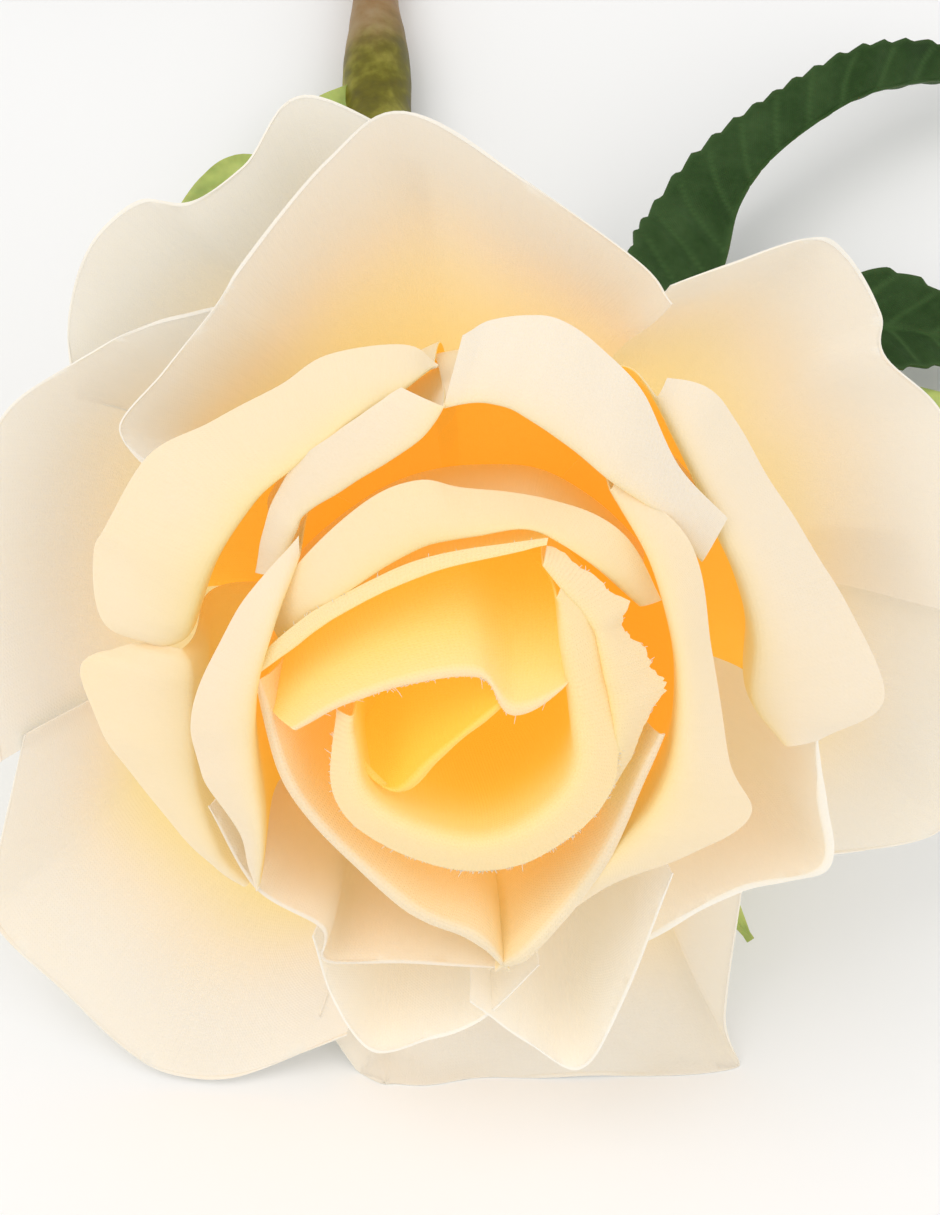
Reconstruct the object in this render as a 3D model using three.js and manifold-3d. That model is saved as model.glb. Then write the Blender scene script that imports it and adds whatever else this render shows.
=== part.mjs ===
import * as THREE from 'three';
import { mergeVertices } from 'three/addons/utils/BufferGeometryUtils.js';
import Module from 'manifold-3d';

const wasm = await Module();
wasm.setup();

// A cloth rose on a wire-cored stem, lying on its side on a table.
// Millimetres. The table is z = 0, the stem runs along +Y, and the bloom looks along -Y and upwards.

const bloomRadius = 50; // the petals below are drawn for this radius
const bloomRise = 31; // degrees that the bloom's axis points above the table
const bloomHeight = 42.5; // height of the petals' seat above the table
const stemReach = 255; // from the petals' seat to the cut end, along the table
const neckRadius = 4; // of the thick green end of the stem, behind the bloom
const neckLength = 110; // from the stem's end in the calyx
const stemRadius = 2.7;
const wireRadius = 1;
const leafStalkRadius = 1.3;
const clothThickness = 0.8;
const leafThickness = 0.9;
const fitGap = 0.3; // room between pieces that touch

const drawnRadius = 50;
const bloomScale = bloomRadius / drawnRadius;
const stemSides = 12;
const knotSwell = 0.6; // how far the stem's knots stand proud
const knotLength = 5;

// Core: the peg that the petals are glued to, standing in the calyx.
const coreRadius = 3.6;
const coreTipRadius = 2;
const coreTop = 16;

// Calyx: the cup under the petals, bored for the peg and the end of the stem.
const calyxTop = -6;
const calyxBottom = -19;
const calyxWall = 3; // at its top
const calyxFootWall = 1.2;
const stemSocket = 7; // how far the stem goes into it

// Bloom frame: x to the right, y up across the bloom, z out along its axis, from the petals' seat.
// rim: the cut edge, from one side to the other. arc: directions of its two sides from the core, degrees.
// bowl: [radius, height] that the cloth swells towards. lip: [width, lift, drop] of the rolled edge, and
// a negative width curls it inwards. fold: the line the edge is rolled over, where the width alone won't do.
// lean: slope of the wall at its top, degrees outwards from the axis.
const petals = [
  { name: 'petal_heart_fold', arc: [215, 75], bowl: [10, 22], lip: [-1, 0.5, 0], lean: -10,
    rim: [[-12, 0.5, 33], [-10, -3, 34], [-6.5, -5, 35.5], [-3, -1, 37], [1.5, 3.5, 37.5], [4, 6, 37]] },
  { name: 'petal_heart_cup', arc: [162, 424], bowl: [13, 10], lip: [6, 1.2, 0], lean: 5,
    rim: [[-13, 4, 36], [-13.5, -4.5, 36], [-9.5, -10, 36], [-2, -13.5, 36], [5, -13, 36],
      [11.5, -8.5, 36], [14.5, -2.5, 36], [14, 5, 36], [11.5, 14, 37], [9, 18, 37]] },
  { name: 'petal_heart_hood', arc: [172, 36], bowl: [20, 12], lip: [-1.5, 0.5, 0], lean: -40,
    rim: [[-17, 2, 36], [-11.5, 5.5, 37.5], [-5, 8, 38.5], [1, 8.5, 38.5], [4, 4.5, 38], [8.5, 6.5, 37.5],
      [10, 9, 36]] },
  { name: 'petal_first_top', arc: [165, 68], bowl: [22, 9], lip: [1.5, 0.6, 0.5], lean: 5,
    rim: [[-24, 4.5, 33], [-18.5, 11, 35], [-13.5, 15.5, 36], [-4, 20.5, 37], [7.5, 22.5, 37]] },
  { name: 'petal_first_right', arc: [64, -34], bowl: [19, 9], lip: [4, 1, 0.5], lean: 5,
    rim: [[7.5, 22, 36], [11.5, 19, 36], [15.5, 15.5, 35.5], [15, 13, 35.5], [17, 11, 35.5], [18.5, 8, 35],
      [19.5, 6, 35], [17.5, 1.5, 34.5], [15.5, -3, 34], [12.5, -8, 34]],
    fold: [[7, 19.5, 36.5], [9, 17, 37], [11, 14.5, 37], [12, 13, 37], [12.5, 10.5, 37], [13, 8, 37],
      [13.5, 5.5, 36.5], [14, 2, 36], [14, -2.5, 35], [12, -8, 34]] },
  { name: 'petal_first_left', arc: [165, 280], bowl: [21, 8], lip: [1.5, 0.5, 0], lean: 30,
    rim: [[-21, 6, 33], [-17.5, -7, 33], [-7, -19, 33], [0.5, -23, 33], [4, -27, 32]] },
  { name: 'petal_first_low', arc: [266, 362], bowl: [21, 8], lip: [1.5, 0.5, 0], lean: 30,
    rim: [[2.5, -27, 32], [6.5, -24, 33], [13.5, -14.5, 33], [19, 0.5, 34]] },
  { name: 'petal_second_top', arc: [150, 36], bowl: [27, 7], lip: [5, 1.2, 0.5], lean: 0,
    rim: [[-20, 12, 32], [-16.5, 18.5, 33.5], [-10, 25, 34], [-5, 27.5, 34.5], [-1, 26.5, 34],
      [7.5, 25.5, 34], [14.5, 22, 34], [18.5, 14, 32]],
    fold: [[-18.5, 9.5, 32], [-14, 14.5, 35], [-8, 19.5, 36], [-4, 21.5, 36], [0.5, 22.5, 36], [6, 23, 36],
      [11.5, 19.5, 35.5], [16.5, 13.5, 32]] },
  { name: 'petal_second_left', arc: [128, 222], bowl: [28, 6], lip: [5, 1.5, 0.5], lean: 5,
    rim: [[-16.5, 21.5, 34], [-22.5, 13.5, 34], [-27, 3.5, 34], [-26.5, -4.5, 33], [-22.5, -11.5, 32],
      [-21.5, -19, 30]],
    fold: [[-16.5, 19, 33], [-19.5, 11, 35], [-21, 4.5, 35], [-21, -2.5, 34], [-20.5, -10.5, 33],
      [-21, -17.5, 31]] },
  { name: 'petal_second_right', arc: [62, -84], bowl: [28, 6], lip: [5, 1.5, 0.5], lean: 8,
    rim: [[14, 27, 33], [21, 21, 34], [23.5, 9.5, 34], [25.5, -3, 33], [28, -10, 31], [22, -14, 31],
      [13, -18, 31], [2, -28, 30]],
    fold: [[13.5, 26, 33], [17.5, 19, 35], [20, 9, 35], [20, -1, 34], [18, -7.5, 33], [14, -13, 32],
      [8.5, -18.5, 31], [2, -27, 30]] },
  { name: 'petal_second_low', arc: [198, 276], bowl: [28, 4], lip: [1.5, 0.3, 0], lean: 30,
    rim: [[-26, -9.5, 30], [-21.5, -18.5, 30], [-15, -23, 30], [-14.5, -27.5, 29], [-7, -27.5, 29],
      [3, -27, 31]] },
  { name: 'petal_third_top', arc: [100, 36], bowl: [38, 4], lip: [9, 1.5, 1], lean: 0,
    rim: [[-0.5, 40.5, 30], [2, 42.5, 31], [5.5, 43.5, 32], [8.5, 43, 32], [12, 40.5, 32],
      [16.5, 35.5, 32], [20, 28, 32], [25, 22, 31]],
    fold: [[-2.5, 34.5, 33], [0.5, 35.5, 34], [3, 35, 34], [6, 33.5, 34], [9.5, 31, 34], [14, 27, 34],
      [18, 23.5, 33], [22.5, 17.5, 31]] },
  { name: 'petal_third_crest', arc: [140, 93], bowl: [37, 4], lip: [4, 1, 0.5], lean: 5,
    rim: [[-21, 15, 28], [-19.5, 21.5, 30], [-17.5, 27, 31], [-13.5, 31, 32], [-10, 33.5, 32],
      [-6.5, 36, 32]],
    fold: [[-18.5, 16, 31], [-17, 21, 32], [-15.5, 23.5, 32.5], [-11, 27, 33.5], [-5, 31.5, 34],
      [-2.5, 35, 34]] },
  { name: 'petal_third_left', arc: [94, 172], bowl: [38, 1], lip: [12, 1.5, 4], lean: 15,
    rim: [[-3, 37, 28], [-6, 38, 26], [-13.5, 36.5, 25], [-18.5, 33, 24], [-25, 29, 23], [-31.5, 25, 22],
      [-36, 17, 21], [-37.5, 13.5, 20], [-36.5, 7, 21], [-32, 5, 22]],
    fold: [[-3.5, 36.5, 28], [-6.5, 35, 30], [-11.5, 32, 31], [-15, 29, 31], [-19, 25.5, 30.5],
      [-21.5, 22.5, 30], [-25, 16.5, 29], [-27, 10, 27], [-28, 7, 25], [-30, 5, 23]] },
  { name: 'petal_third_side', arc: [170, 226], bowl: [36, 1], lip: [6, 1, 1], lean: 25,
    rim: [[-32, 5, 22], [-35.5, 3.5, 21], [-39, 1, 20], [-37, -5.5, 21], [-33, -12, 21],
      [-27.5, -18.5, 22], [-23, -22, 22]],
    fold: [[-28.5, 5.5, 25], [-27.5, 4, 26], [-27.5, 0.5, 26], [-27.5, -4, 26], [-27, -10.5, 25],
      [-25, -17.5, 24], [-22.5, -21.5, 23]] },
  { name: 'petal_third_right', arc: [68, -10], bowl: [38, 1], lip: [11, 1.5, 3], lean: 15,
    rim: [[19, 35, 27], [23, 34, 27], [26, 30, 26], [30, 22.5, 25], [34, 15, 24], [37.5, 9, 23],
      [41.5, -1.5, 22], [35, -6, 22]],
    fold: [[18, 33.5, 28], [19.5, 30.5, 29], [21.5, 26, 29], [24, 20, 29], [26.5, 14, 28], [28, 7.5, 27],
      [28, 0, 25], [31.5, -6, 23]] },
  { name: 'petal_third_low', arc: [238, 282], bowl: [34, 0], lip: [1.5, 0.3, 0], lean: 35,
    rim: [[-16, -27, 24], [-14, -34.5, 24], [-10, -41, 23], [-4, -39.5, 23], [1.5, -36.5, 24],
      [7, -30, 25]] },
  { name: 'petal_third_front', arc: [266, 318], bowl: [34, -1], lip: [1.5, 0.3, 0], lean: 35,
    rim: [[0, -34, 25], [6, -39.5, 24], [11.5, -43, 23], [15.5, -35, 24], [20.5, -19.5, 25]] },
  { name: 'petal_third_corner', arc: [352, 302], bowl: [36, -1], lip: [2.5, 0.5, 0.5], lean: 30,
    rim: [[35, -6, 21], [36, -13.5, 20], [36.5, -21.5, 20], [28, -24, 20], [18, -29, 21]] },
  { name: 'petal_outer_top', arc: [62, 158], bowl: [38, -5], lip: [1, 0.1, 0], lean: 55,
    rim: [[20, 37, 12], [17, 41, 11], [5, 49.5, 10], [-6.5, 56, 9], [-14, 51, 9], [-22.5, 40.5, 10],
      [-25.5, 36, 11], [-30.5, 30, 12], [-35, 24.5, 14], [-31, 21.5, 17]] },
  { name: 'petal_outer_right', arc: [62, 2], bowl: [38, -6], lip: [1, 0.1, 0], lean: 55,
    rim: [[20, 37.5, 8], [26, 40, 8], [33.5, 42.5, 8], [37.5, 40.5, 8], [41, 34.5, 8], [41.5, 30, 8],
      [47.5, 24, 9], [49, 14.5, 9], [48.5, 2.5, 9]] },
  { name: 'petal_outer_left', arc: [122, 198], bowl: [38, -6], lip: [1, 0.1, 0], lean: 55,
    rim: [[-25.5, 34.5, 7], [-33, 32.5, 7], [-39.5, 29, 7], [-48, 22, 9], [-49.5, 3.5, 9],
      [-48.5, -14.5, 9]] },
  { name: 'petal_outer_corner', arc: [198, 256], bowl: [38, -6], lip: [1, 0.1, 0], lean: 60,
    rim: [[-46, -12, 8], [-50, -29.5, 7], [-49.5, -35, 7], [-42, -44, 7], [-34, -51.5, 7],
      [-24.5, -52.5, 7], [-13, -47, 8]] },
  { name: 'petal_outer_low', arc: [250, 318], bowl: [38, -7], lip: [1, 0.1, 0], lean: 62,
    rim: [[-16, -46, 6], [-10.5, -55, 6], [-7.5, -55.5, 6], [0, -54, 6], [13, -53, 6], [28, -53.5, 5],
      [27, -46.5, 6], [28.5, -29, 8]] },
  { name: 'petal_outer_side', arc: [12, -36], bowl: [38, -8], lip: [1, 0.1, 0], lean: 60,
    rim: [[46, 10, 6], [50, -2.5, 5], [51.5, -14, 5], [49.5, -24.5, 5], [35, -27, 6]] },
  { name: 'petal_outer_back', arc: [92, 150], bowl: [38, -9], lip: [1, 0.1, 0], lean: 65,
    rim: [[-4, 50, 4], [-16.5, 55.5, 3], [-22.5, 48.5, 3], [-28, 44.5, 3], [-33, 44.5, 3], [-38, 40, 3],
      [-40.5, 32, 3], [-40, 24, 4]] },
];
const seatTop = 13; // height of the heart's seat on the core
const seatStep = 0.62; // each petal sits this much lower than the one inside it
const wallShare = 0.62; // how far along the cloth the rolled edge begins
const seatSpread = 0.05; // and this much further out
const wallPull = 0.35; // how straight the wall runs into the fold, as a share of its reach
const rollEase = 0.4; // how quickly the rolled edge opens from a petal's sides
const petalAcross = 10;
const petalAlong = 8;

// Sepals: direction round the calyx in degrees, length and the height of the tip.
const sepals = [
  { name: 'sepal_right', turn: 2, reach: 48, tip: -1 },
  { name: 'sepal_top', turn: 62, reach: 34, tip: -5 },
  { name: 'sepal_left_top', turn: 124, reach: 42, tip: -4 },
  { name: 'sepal_left', turn: 196, reach: 44, tip: -3 },
  { name: 'sepal_low', turn: 307, reach: 46, tip: -1 },
];
const sepalWidth = 8;
const sepalSag = 5; // how far a sepal dips below a straight line to its tip
const sepalDrop = 3; // its foot is this far below the calyx's top
const sepalHalves = [8, 8];
const leafTip = 0.08; // share of a blade's width at its ends
const leafFullness = 0.8;

const radians = THREE.MathUtils.degToRad;
const vec = (x, y, z) => new THREE.Vector3(x, y, z);
const upAxis = vec(0, 0, 1);

const bloomFrame = new THREE.Matrix4().makeRotationX(radians(90 - bloomRise));
bloomFrame.setPosition(0, 0, bloomHeight);
const toRow = (p) => p.clone().multiplyScalar(bloomScale).applyMatrix4(bloomFrame);

const curveThrough = (points) => new THREE.CatmullRomCurve3(
  points.map(([x, y, z]) => vec(x, y, z)), false, 'catmullrom', 0.5);

// One layer of cloth, closed all round, from a surface given as place(across, along). With a gap, it is
// the room that the layer and the gap round it take up.
function clothSolid(place, across, along, thickness, gap = 0) {
  const mid = [];
  for (let j = 0; j <= along; j += 1) {
    for (let i = 0; i <= across; i += 1) {
      mid.push(place(i / across, j / along));
    }
  }
  const at = (i, j) => j * (across + 1) + i;
  const clampTo = (value, top) => Math.min(Math.max(value, 0), top);
  const layers = [[], []];
  mid.forEach((p, k) => {
    const i = k % (across + 1);
    const j = Math.floor(k / (across + 1));
    const crosswise = mid[at(clampTo(i + 1, across), j)].clone().sub(mid[at(clampTo(i - 1, across), j)]);
    const lengthwise = mid[at(i, clampTo(j + 1, along))].clone().sub(mid[at(i, clampTo(j - 1, along))]);
    const normal = crosswise.clone().cross(lengthwise).normalize();
    const grown = p.clone()
      .addScaledVector(crosswise.normalize(), gap * (Number(i === across) - Number(i === 0)))
      .addScaledVector(lengthwise.normalize(), gap * (Number(j === along) - Number(j === 0)));
    layers[0].push(...grown.clone().addScaledVector(normal, thickness / 2 + gap));
    layers[1].push(...grown.clone().addScaledVector(normal, -thickness / 2 - gap));
  });
  const count = mid.length;
  const vertices = layers.flat();
  if (gap > 0) return roomFrom(vertices, count, across, along);
  const faces = [];
  const quad = (a, b, c, d) => faces.push(a, b, c, a, c, d);
  for (let j = 0; j < along; j += 1) {
    for (let i = 0; i < across; i += 1) {
      quad(at(i, j), at(i + 1, j), at(i + 1, j + 1), at(i, j + 1));
      quad(count + at(i, j), count + at(i, j + 1), count + at(i + 1, j + 1), count + at(i + 1, j));
    }
  }
  const border = [];
  for (let i = 0; i < across; i += 1) border.push(at(i, 0));
  for (let j = 0; j < along; j += 1) border.push(at(across, j));
  for (let i = across; i > 0; i -= 1) border.push(at(i, along));
  for (let j = along; j > 0; j -= 1) border.push(at(0, j));
  border.forEach((a, k) => {
    const b = border[(k + 1) % border.length];
    quad(b, a, count + a, count + b);
  });
  return manifoldFrom(vertices, faces);
}

// The room is joined from one block for each patch, so that a tight fold in the cloth leaves no hole in it.
function roomFrom(vertices, count, across, along) {
  const blocks = [];
  const block = [[0, 1, 3, 2], [4, 6, 7, 5], [0, 4, 5, 1], [1, 5, 7, 3], [3, 7, 6, 2], [2, 6, 4, 0]];
  const faces = block.flatMap(([a, b, c, d]) => [a, b, c, a, c, d]);
  for (let j = 0; j < along; j += 1) {
    for (let i = 0; i < across; i += 1) {
      const low = j * (across + 1) + i;
      const corners = [low, low + 1, low + across + 1, low + across + 2];
      const points = [...corners, ...corners.map((k) => k + count)];
      blocks.push(manifoldFrom(points.flatMap((k) => vertices.slice(3 * k, 3 * k + 3)), faces));
    }
  }
  return wasm.Manifold.union(blocks);
}

function manifoldFrom(vertices, faces) {
  const mesh = new wasm.Mesh({
    numProp: 3,
    vertProperties: Float32Array.from(vertices),
    triVerts: Uint32Array.from(faces),
  });
  const solid = new wasm.Manifold(mesh);
  return solid.volume() < 0 ? manifoldFrom(vertices, faces.slice().reverse()) : solid;
}

function geometryOf(solid) {
  const { vertProperties, triVerts, numProp } = solid.getMesh();
  const geometry = new THREE.BufferGeometry();
  const positions = [];
  for (let k = 0; k < vertProperties.length; k += numProp) {
    positions.push(vertProperties[k], vertProperties[k + 1], vertProperties[k + 2]);
  }
  geometry.setAttribute('position', new THREE.Float32BufferAttribute(positions, 3));
  geometry.setIndex(Array.from(triVerts));
  geometry.computeVertexNormals();
  return geometry;
}

const flower = new THREE.Group();
flower.name = 'fabric_rose';
const finishes = {
  petalHeart: new THREE.MeshStandardMaterial({ color: '#f7c878', roughness: 0.75, metalness: 0 }),
  petalMiddle: new THREE.MeshStandardMaterial({ color: '#fbe0bd', roughness: 0.75, metalness: 0 }),
  petalOuter: new THREE.MeshStandardMaterial({ color: '#f3e8d6', roughness: 0.75, metalness: 0 }),
  leaf: new THREE.MeshStandardMaterial({ color: '#2f5020', roughness: 0.55, metalness: 0 }),
  sepal: new THREE.MeshStandardMaterial({ color: '#a9b56a', roughness: 0.6, metalness: 0 }),
  stem: new THREE.MeshStandardMaterial({ color: '#7a7050', roughness: 0.5, metalness: 0 }),
  wire: new THREE.MeshStandardMaterial({ color: '#8b8d8e', roughness: 0.35, metalness: 1 }),
};

function mainPart(solid) {
  return solid.decompose().reduce((best, part) => (part.volume() > best.volume() ? part : best));
}

// A piece is cut back wherever it would touch a piece placed before it, and only its main part is kept.
const placed = [];
const boxOf = (solid) => {
  const { min, max } = solid.boundingBox();
  return new THREE.Box3(vec(...min), vec(...max));
};
function addPiece(name, solid, room, material) {
  let left = solid;
  placed.filter((other) => boxOf(other).intersectsBox(boxOf(solid))).forEach((other) => {
    left = left.subtract(other);
  });
  const body = mainPart(solidOf(geometryOf(mainPart(left.simplify(0.03)))));
  placed.push(room, body);
  const mesh = new THREE.Mesh(geometryOf(body), material);
  mesh.name = name;
  flower.add(mesh);
}

const onTable = (p, thickness) => {
  p.z = Math.max(p.z, thickness / 2);
  return p;
};

function petalSurface(petal, seat) {
  const rim = curveThrough(petal.rim);
  const fold = petal.fold && curveThrough(petal.fold);
  const [lipWidth, lipLift, lipDrop] = petal.lip;
  const lean = radians(petal.lean);
  return (across, along) => {
    const turn = radians(THREE.MathUtils.lerp(petal.arc[0], petal.arc[1], across));
    const out = vec(Math.cos(turn), Math.sin(turn), 0);
    const edge = rim.getPoint(across);
    const roll = Math.sin(Math.PI * THREE.MathUtils.clamp(across, 0.02, 0.98)) ** rollEase;
    const slope = upAxis.clone().multiplyScalar(Math.cos(lean)).addScaledVector(out, Math.sin(lean));
    const foot = out.clone().multiplyScalar(seat.radius).setZ(seat.height);
    const top = fold
      ? fold.getPoint(across)
      : edge.clone().addScaledVector(out, -lipWidth * roll).addScaledVector(upAxis, lipDrop * roll);
    const belly = out.clone().multiplyScalar(petal.bowl[0]).setZ(petal.bowl[1]);
    const wall = new THREE.CubicBezierCurve3(foot, belly,
      top.clone().addScaledVector(slope, -wallPull * top.distanceTo(foot)), top);
    const lip = new THREE.QuadraticBezierCurve3(top,
      top.clone().addScaledVector(slope, 2 * lipLift * roll), edge);
    const point = along < wallShare
      ? wall.getPoint(along / wallShare)
      : lip.getPoint((along - wallShare) / (1 - wallShare));
    return onTable(toRow(point), clothThickness);
  };
}

function solidOf(geometry) {
  const bare = new THREE.BufferGeometry();
  bare.setAttribute('position', geometry.getAttribute('position'));
  bare.setIndex(geometry.getIndex());
  const merged = mergeVertices(bare, 1e-4);
  const index = Array.from(merged.getIndex().array);
  const faces = [];
  for (let k = 0; k < index.length; k += 3) {
    const [a, b, c] = index.slice(k, k + 3);
    if (a !== b && b !== c && c !== a) faces.push(a, b, c);
  }
  return manifoldFrom(Array.from(merged.getAttribute('position').array), faces);
}

// Turned about the bloom's axis. The profile is closed, and its points are [radius, height].
function turned(profile) {
  const points = profile.map(([radius, height]) => new THREE.Vector2(radius, height));
  const geometry = new THREE.LatheGeometry([...points, points[0]], stemSides * 2);
  geometry.rotateX(Math.PI / 2);
  geometry.scale(bloomScale, bloomScale, bloomScale);
  geometry.applyMatrix4(bloomFrame);
  return solidOf(geometry);
}

// A round rod along a curve. radiusAt gives its radius at a distance along it, and bore its hole's radius.
function rod(curve, radiusAt, bore, rings, sides) {
  const length = curve.getLength();
  const frames = curve.computeFrenetFrames(rings, false);
  const vertices = [];
  const loop = (ring, radius) => {
    const centre = curve.getPointAt(ring / rings);
    for (let k = 0; k < sides; k += 1) {
      const turn = (2 * Math.PI * k) / sides;
      const p = centre.clone()
        .addScaledVector(frames.normals[ring], radius * Math.cos(turn))
        .addScaledVector(frames.binormals[ring], radius * Math.sin(turn));
      vertices.push(...p);
    }
  };
  for (let ring = 0; ring <= rings; ring += 1) loop(ring, radiusAt((length * ring) / rings));
  if (bore > 0) {
    for (let ring = rings; ring >= 0; ring -= 1) loop(ring, bore);
  }
  const loops = vertices.length / 3 / sides;
  const faces = [];
  const joined = bore > 0 ? loops : loops - 1;
  for (let row = 0; row < joined; row += 1) {
    const next = (row + 1) % loops;
    for (let k = 0; k < sides; k += 1) {
      const m = (k + 1) % sides;
      const [a, b, c, d] = [row * sides + k, row * sides + m, next * sides + m, next * sides + k];
      faces.push(a, b, c, a, c, d);
    }
  }
  if (bore === 0) {
    for (let k = 1; k < sides - 1; k += 1) {
      faces.push(0, k + 1, k);
      const last = (loops - 1) * sides;
      faces.push(last, last + k, last + k + 1);
    }
  }
  return manifoldFrom(vertices, faces);
}

// Core, calyx and stem.
const calyxBore = neckRadius / bloomScale + fitGap;
const calyxRadius = calyxBore + calyxWall;
const calyxFoot = calyxBore + calyxFootWall;
const pegRadius = calyxBore - fitGap;
const pegEnd = calyxBottom + stemSocket;
const coreShoulder = 2; // height of the core's foot above the calyx
const coreProfile = (gap) => [
  [0, coreTop + gap], [coreTipRadius + gap, coreTop + gap], [coreRadius + gap, calyxTop + coreShoulder],
  [pegRadius + gap, calyxTop], [pegRadius + gap, pegEnd - gap], [0, pegEnd - gap],
];
const calyxProfile = (gap) => [
  [calyxBore - gap, calyxTop - fitGap + gap], [calyxRadius + gap, calyxTop - fitGap + gap],
  [calyxRadius + gap, calyxTop - 4], [calyxFoot + gap, calyxBottom - gap], [calyxBore - gap, calyxBottom - gap],
];
addPiece('flower_core', turned(coreProfile(0)), turned(coreProfile(fitGap)), finishes.sepal);
addPiece('calyx', turned(calyxProfile(0)), turned(calyxProfile(0)), finishes.sepal);

const axisPoint = (height) => toRow(vec(0, 0, height)).toArray();
const stemBed = stemRadius + knotSwell; // the stem's knots lie on the table
const neckBed = neckRadius + knotSwell;
const stemPath = (end) => curveThrough([
  axisPoint(pegEnd - 0.5), axisPoint(calyxBottom), axisPoint(calyxBottom - 14),
  [-4, 48, 12], [-8, 68, neckBed + 2], [-10.8, 92, neckBed], [-11.6, 140, stemBed],
  [-11, stemReach - 55, stemBed], [-6, end, stemBed],
]);
const stemCurve = stemPath(stemReach);
const wireShows = 2.5; // the wire stands this far out of the cut end
const stemKnots = [60, 90, 140, 190]; // distances of the knots from the stem's end in the calyx
const neckTaper = 7; // length of each half of the narrowing
const knotAt = (distance) => stemKnots.reduce(
  (swell, knot) => swell + knotSwell * Math.exp(-(((distance - knot) / knotLength) ** 2)), 0);
const stemRadiusAt = (distance) => THREE.MathUtils.lerp(neckRadius, stemRadius,
  THREE.MathUtils.smoothstep(distance, neckLength - neckTaper, neckLength + neckTaper)) + knotAt(distance);
const stemRings = 44;
const wireCurve = stemPath(stemReach + wireShows);
const wireSolid = rod(wireCurve, () => wireRadius, 0, stemRings, 6);
addPiece('stem_wire', wireSolid, wireSolid, finishes.wire);
addPiece('stem', rod(stemCurve, stemRadiusAt, wireRadius + fitGap, stemRings, stemSides),
  rod(stemCurve, (distance) => stemRadiusAt(distance) + fitGap, 0, stemRings, stemSides), finishes.stem);

// Petals, from the heart outwards.
const finishOf = (name) => {
  if (name.includes('heart') || name.includes('first')) return finishes.petalHeart;
  return name.includes('outer') ? finishes.petalOuter : finishes.petalMiddle;
};
petals.forEach((petal, order) => {
  const seat = {
    radius: coreRadius + fitGap + clothThickness / 2 + seatSpread * order,
    height: seatTop - seatStep * order,
  };
  const surface = petalSurface(petal, seat);
  const finish = finishOf(petal.name);
  addPiece(petal.name, clothSolid(surface, petalAcross, petalAlong, clothThickness),
    clothSolid(surface, petalAcross, petalAlong, clothThickness, fitGap), finish);
});

// A narrow blade along a curve. halves: slope of its two sides in degrees, left and right of the curve.
// taper: its shares of the width at even steps, where it isn't the usual leaf shape.
const leafShape = (along) => Math.max(leafTip, Math.sin(Math.PI * along ** leafFullness) ** leafFullness);
function bladeSurface(curve, width, halves, thickness, taper) {
  const shape = taper && curveThrough(taper.map((share) => [share, 0, 0]));
  return (across, along) => {
    const centre = curve.getPoint(along);
    const ahead = curve.getTangent(along);
    const side = ahead.clone().cross(upAxis).normalize();
    const over = side.clone().cross(ahead).normalize();
    const reach = 2 * across - 1;
    const slope = radians(reach < 0 ? halves[0] : halves[1]);
    const half = (width / 2) * (shape ? shape.getPoint(along).x : leafShape(along));
    centre.addScaledVector(side, reach * half * Math.cos(slope));
    centre.addScaledVector(over, Math.abs(reach) * half * Math.sin(slope));
    return onTable(centre, thickness);
  };
}

sepals.forEach(({ name, turn, reach, tip }) => {
  const out = vec(Math.cos(radians(turn)), Math.sin(radians(turn)), 0);
  const along = (radius, height) => toRow(out.clone().multiplyScalar(radius).setZ(height)).toArray();
  const start = calyxRadius + fitGap + clothThickness / 2;
  const curve = curveThrough([
    along(start, calyxTop - sepalDrop), along(start + 0.25 * reach, calyxTop - sepalDrop - sepalSag),
    along(0.7 * reach, (calyxTop + tip) / 2 - sepalSag), along(reach, tip)]);
  const blade = bladeSurface(curve, sepalWidth, sepalHalves, clothThickness);
  addPiece(name, clothSolid(blade, 4, 8, clothThickness), clothSolid(blade, 4, 8, clothThickness, fitGap),
    finishes.sepal);
});

// The stipule: a green blade from the end of the neck. Points from here on are in the row's own directions,
// before the whole is centred.
const stipulePath = [[-12, 102, 5], [-14.5, 99, 5.5], [-18.5, 95, 6], [-25.5, 86, 6], [-31.5, 80, 5],
  [-38, 73, 3]];
const stipuleWidth = 4.5;
const stipule = bladeSurface(curveThrough(stipulePath), stipuleWidth, sepalHalves, clothThickness);
addPiece('stipule', clothSolid(stipule, 4, 6, clothThickness),
  clothSolid(stipule, 4, 6, clothThickness, fitGap), finishes.sepal);

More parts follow.
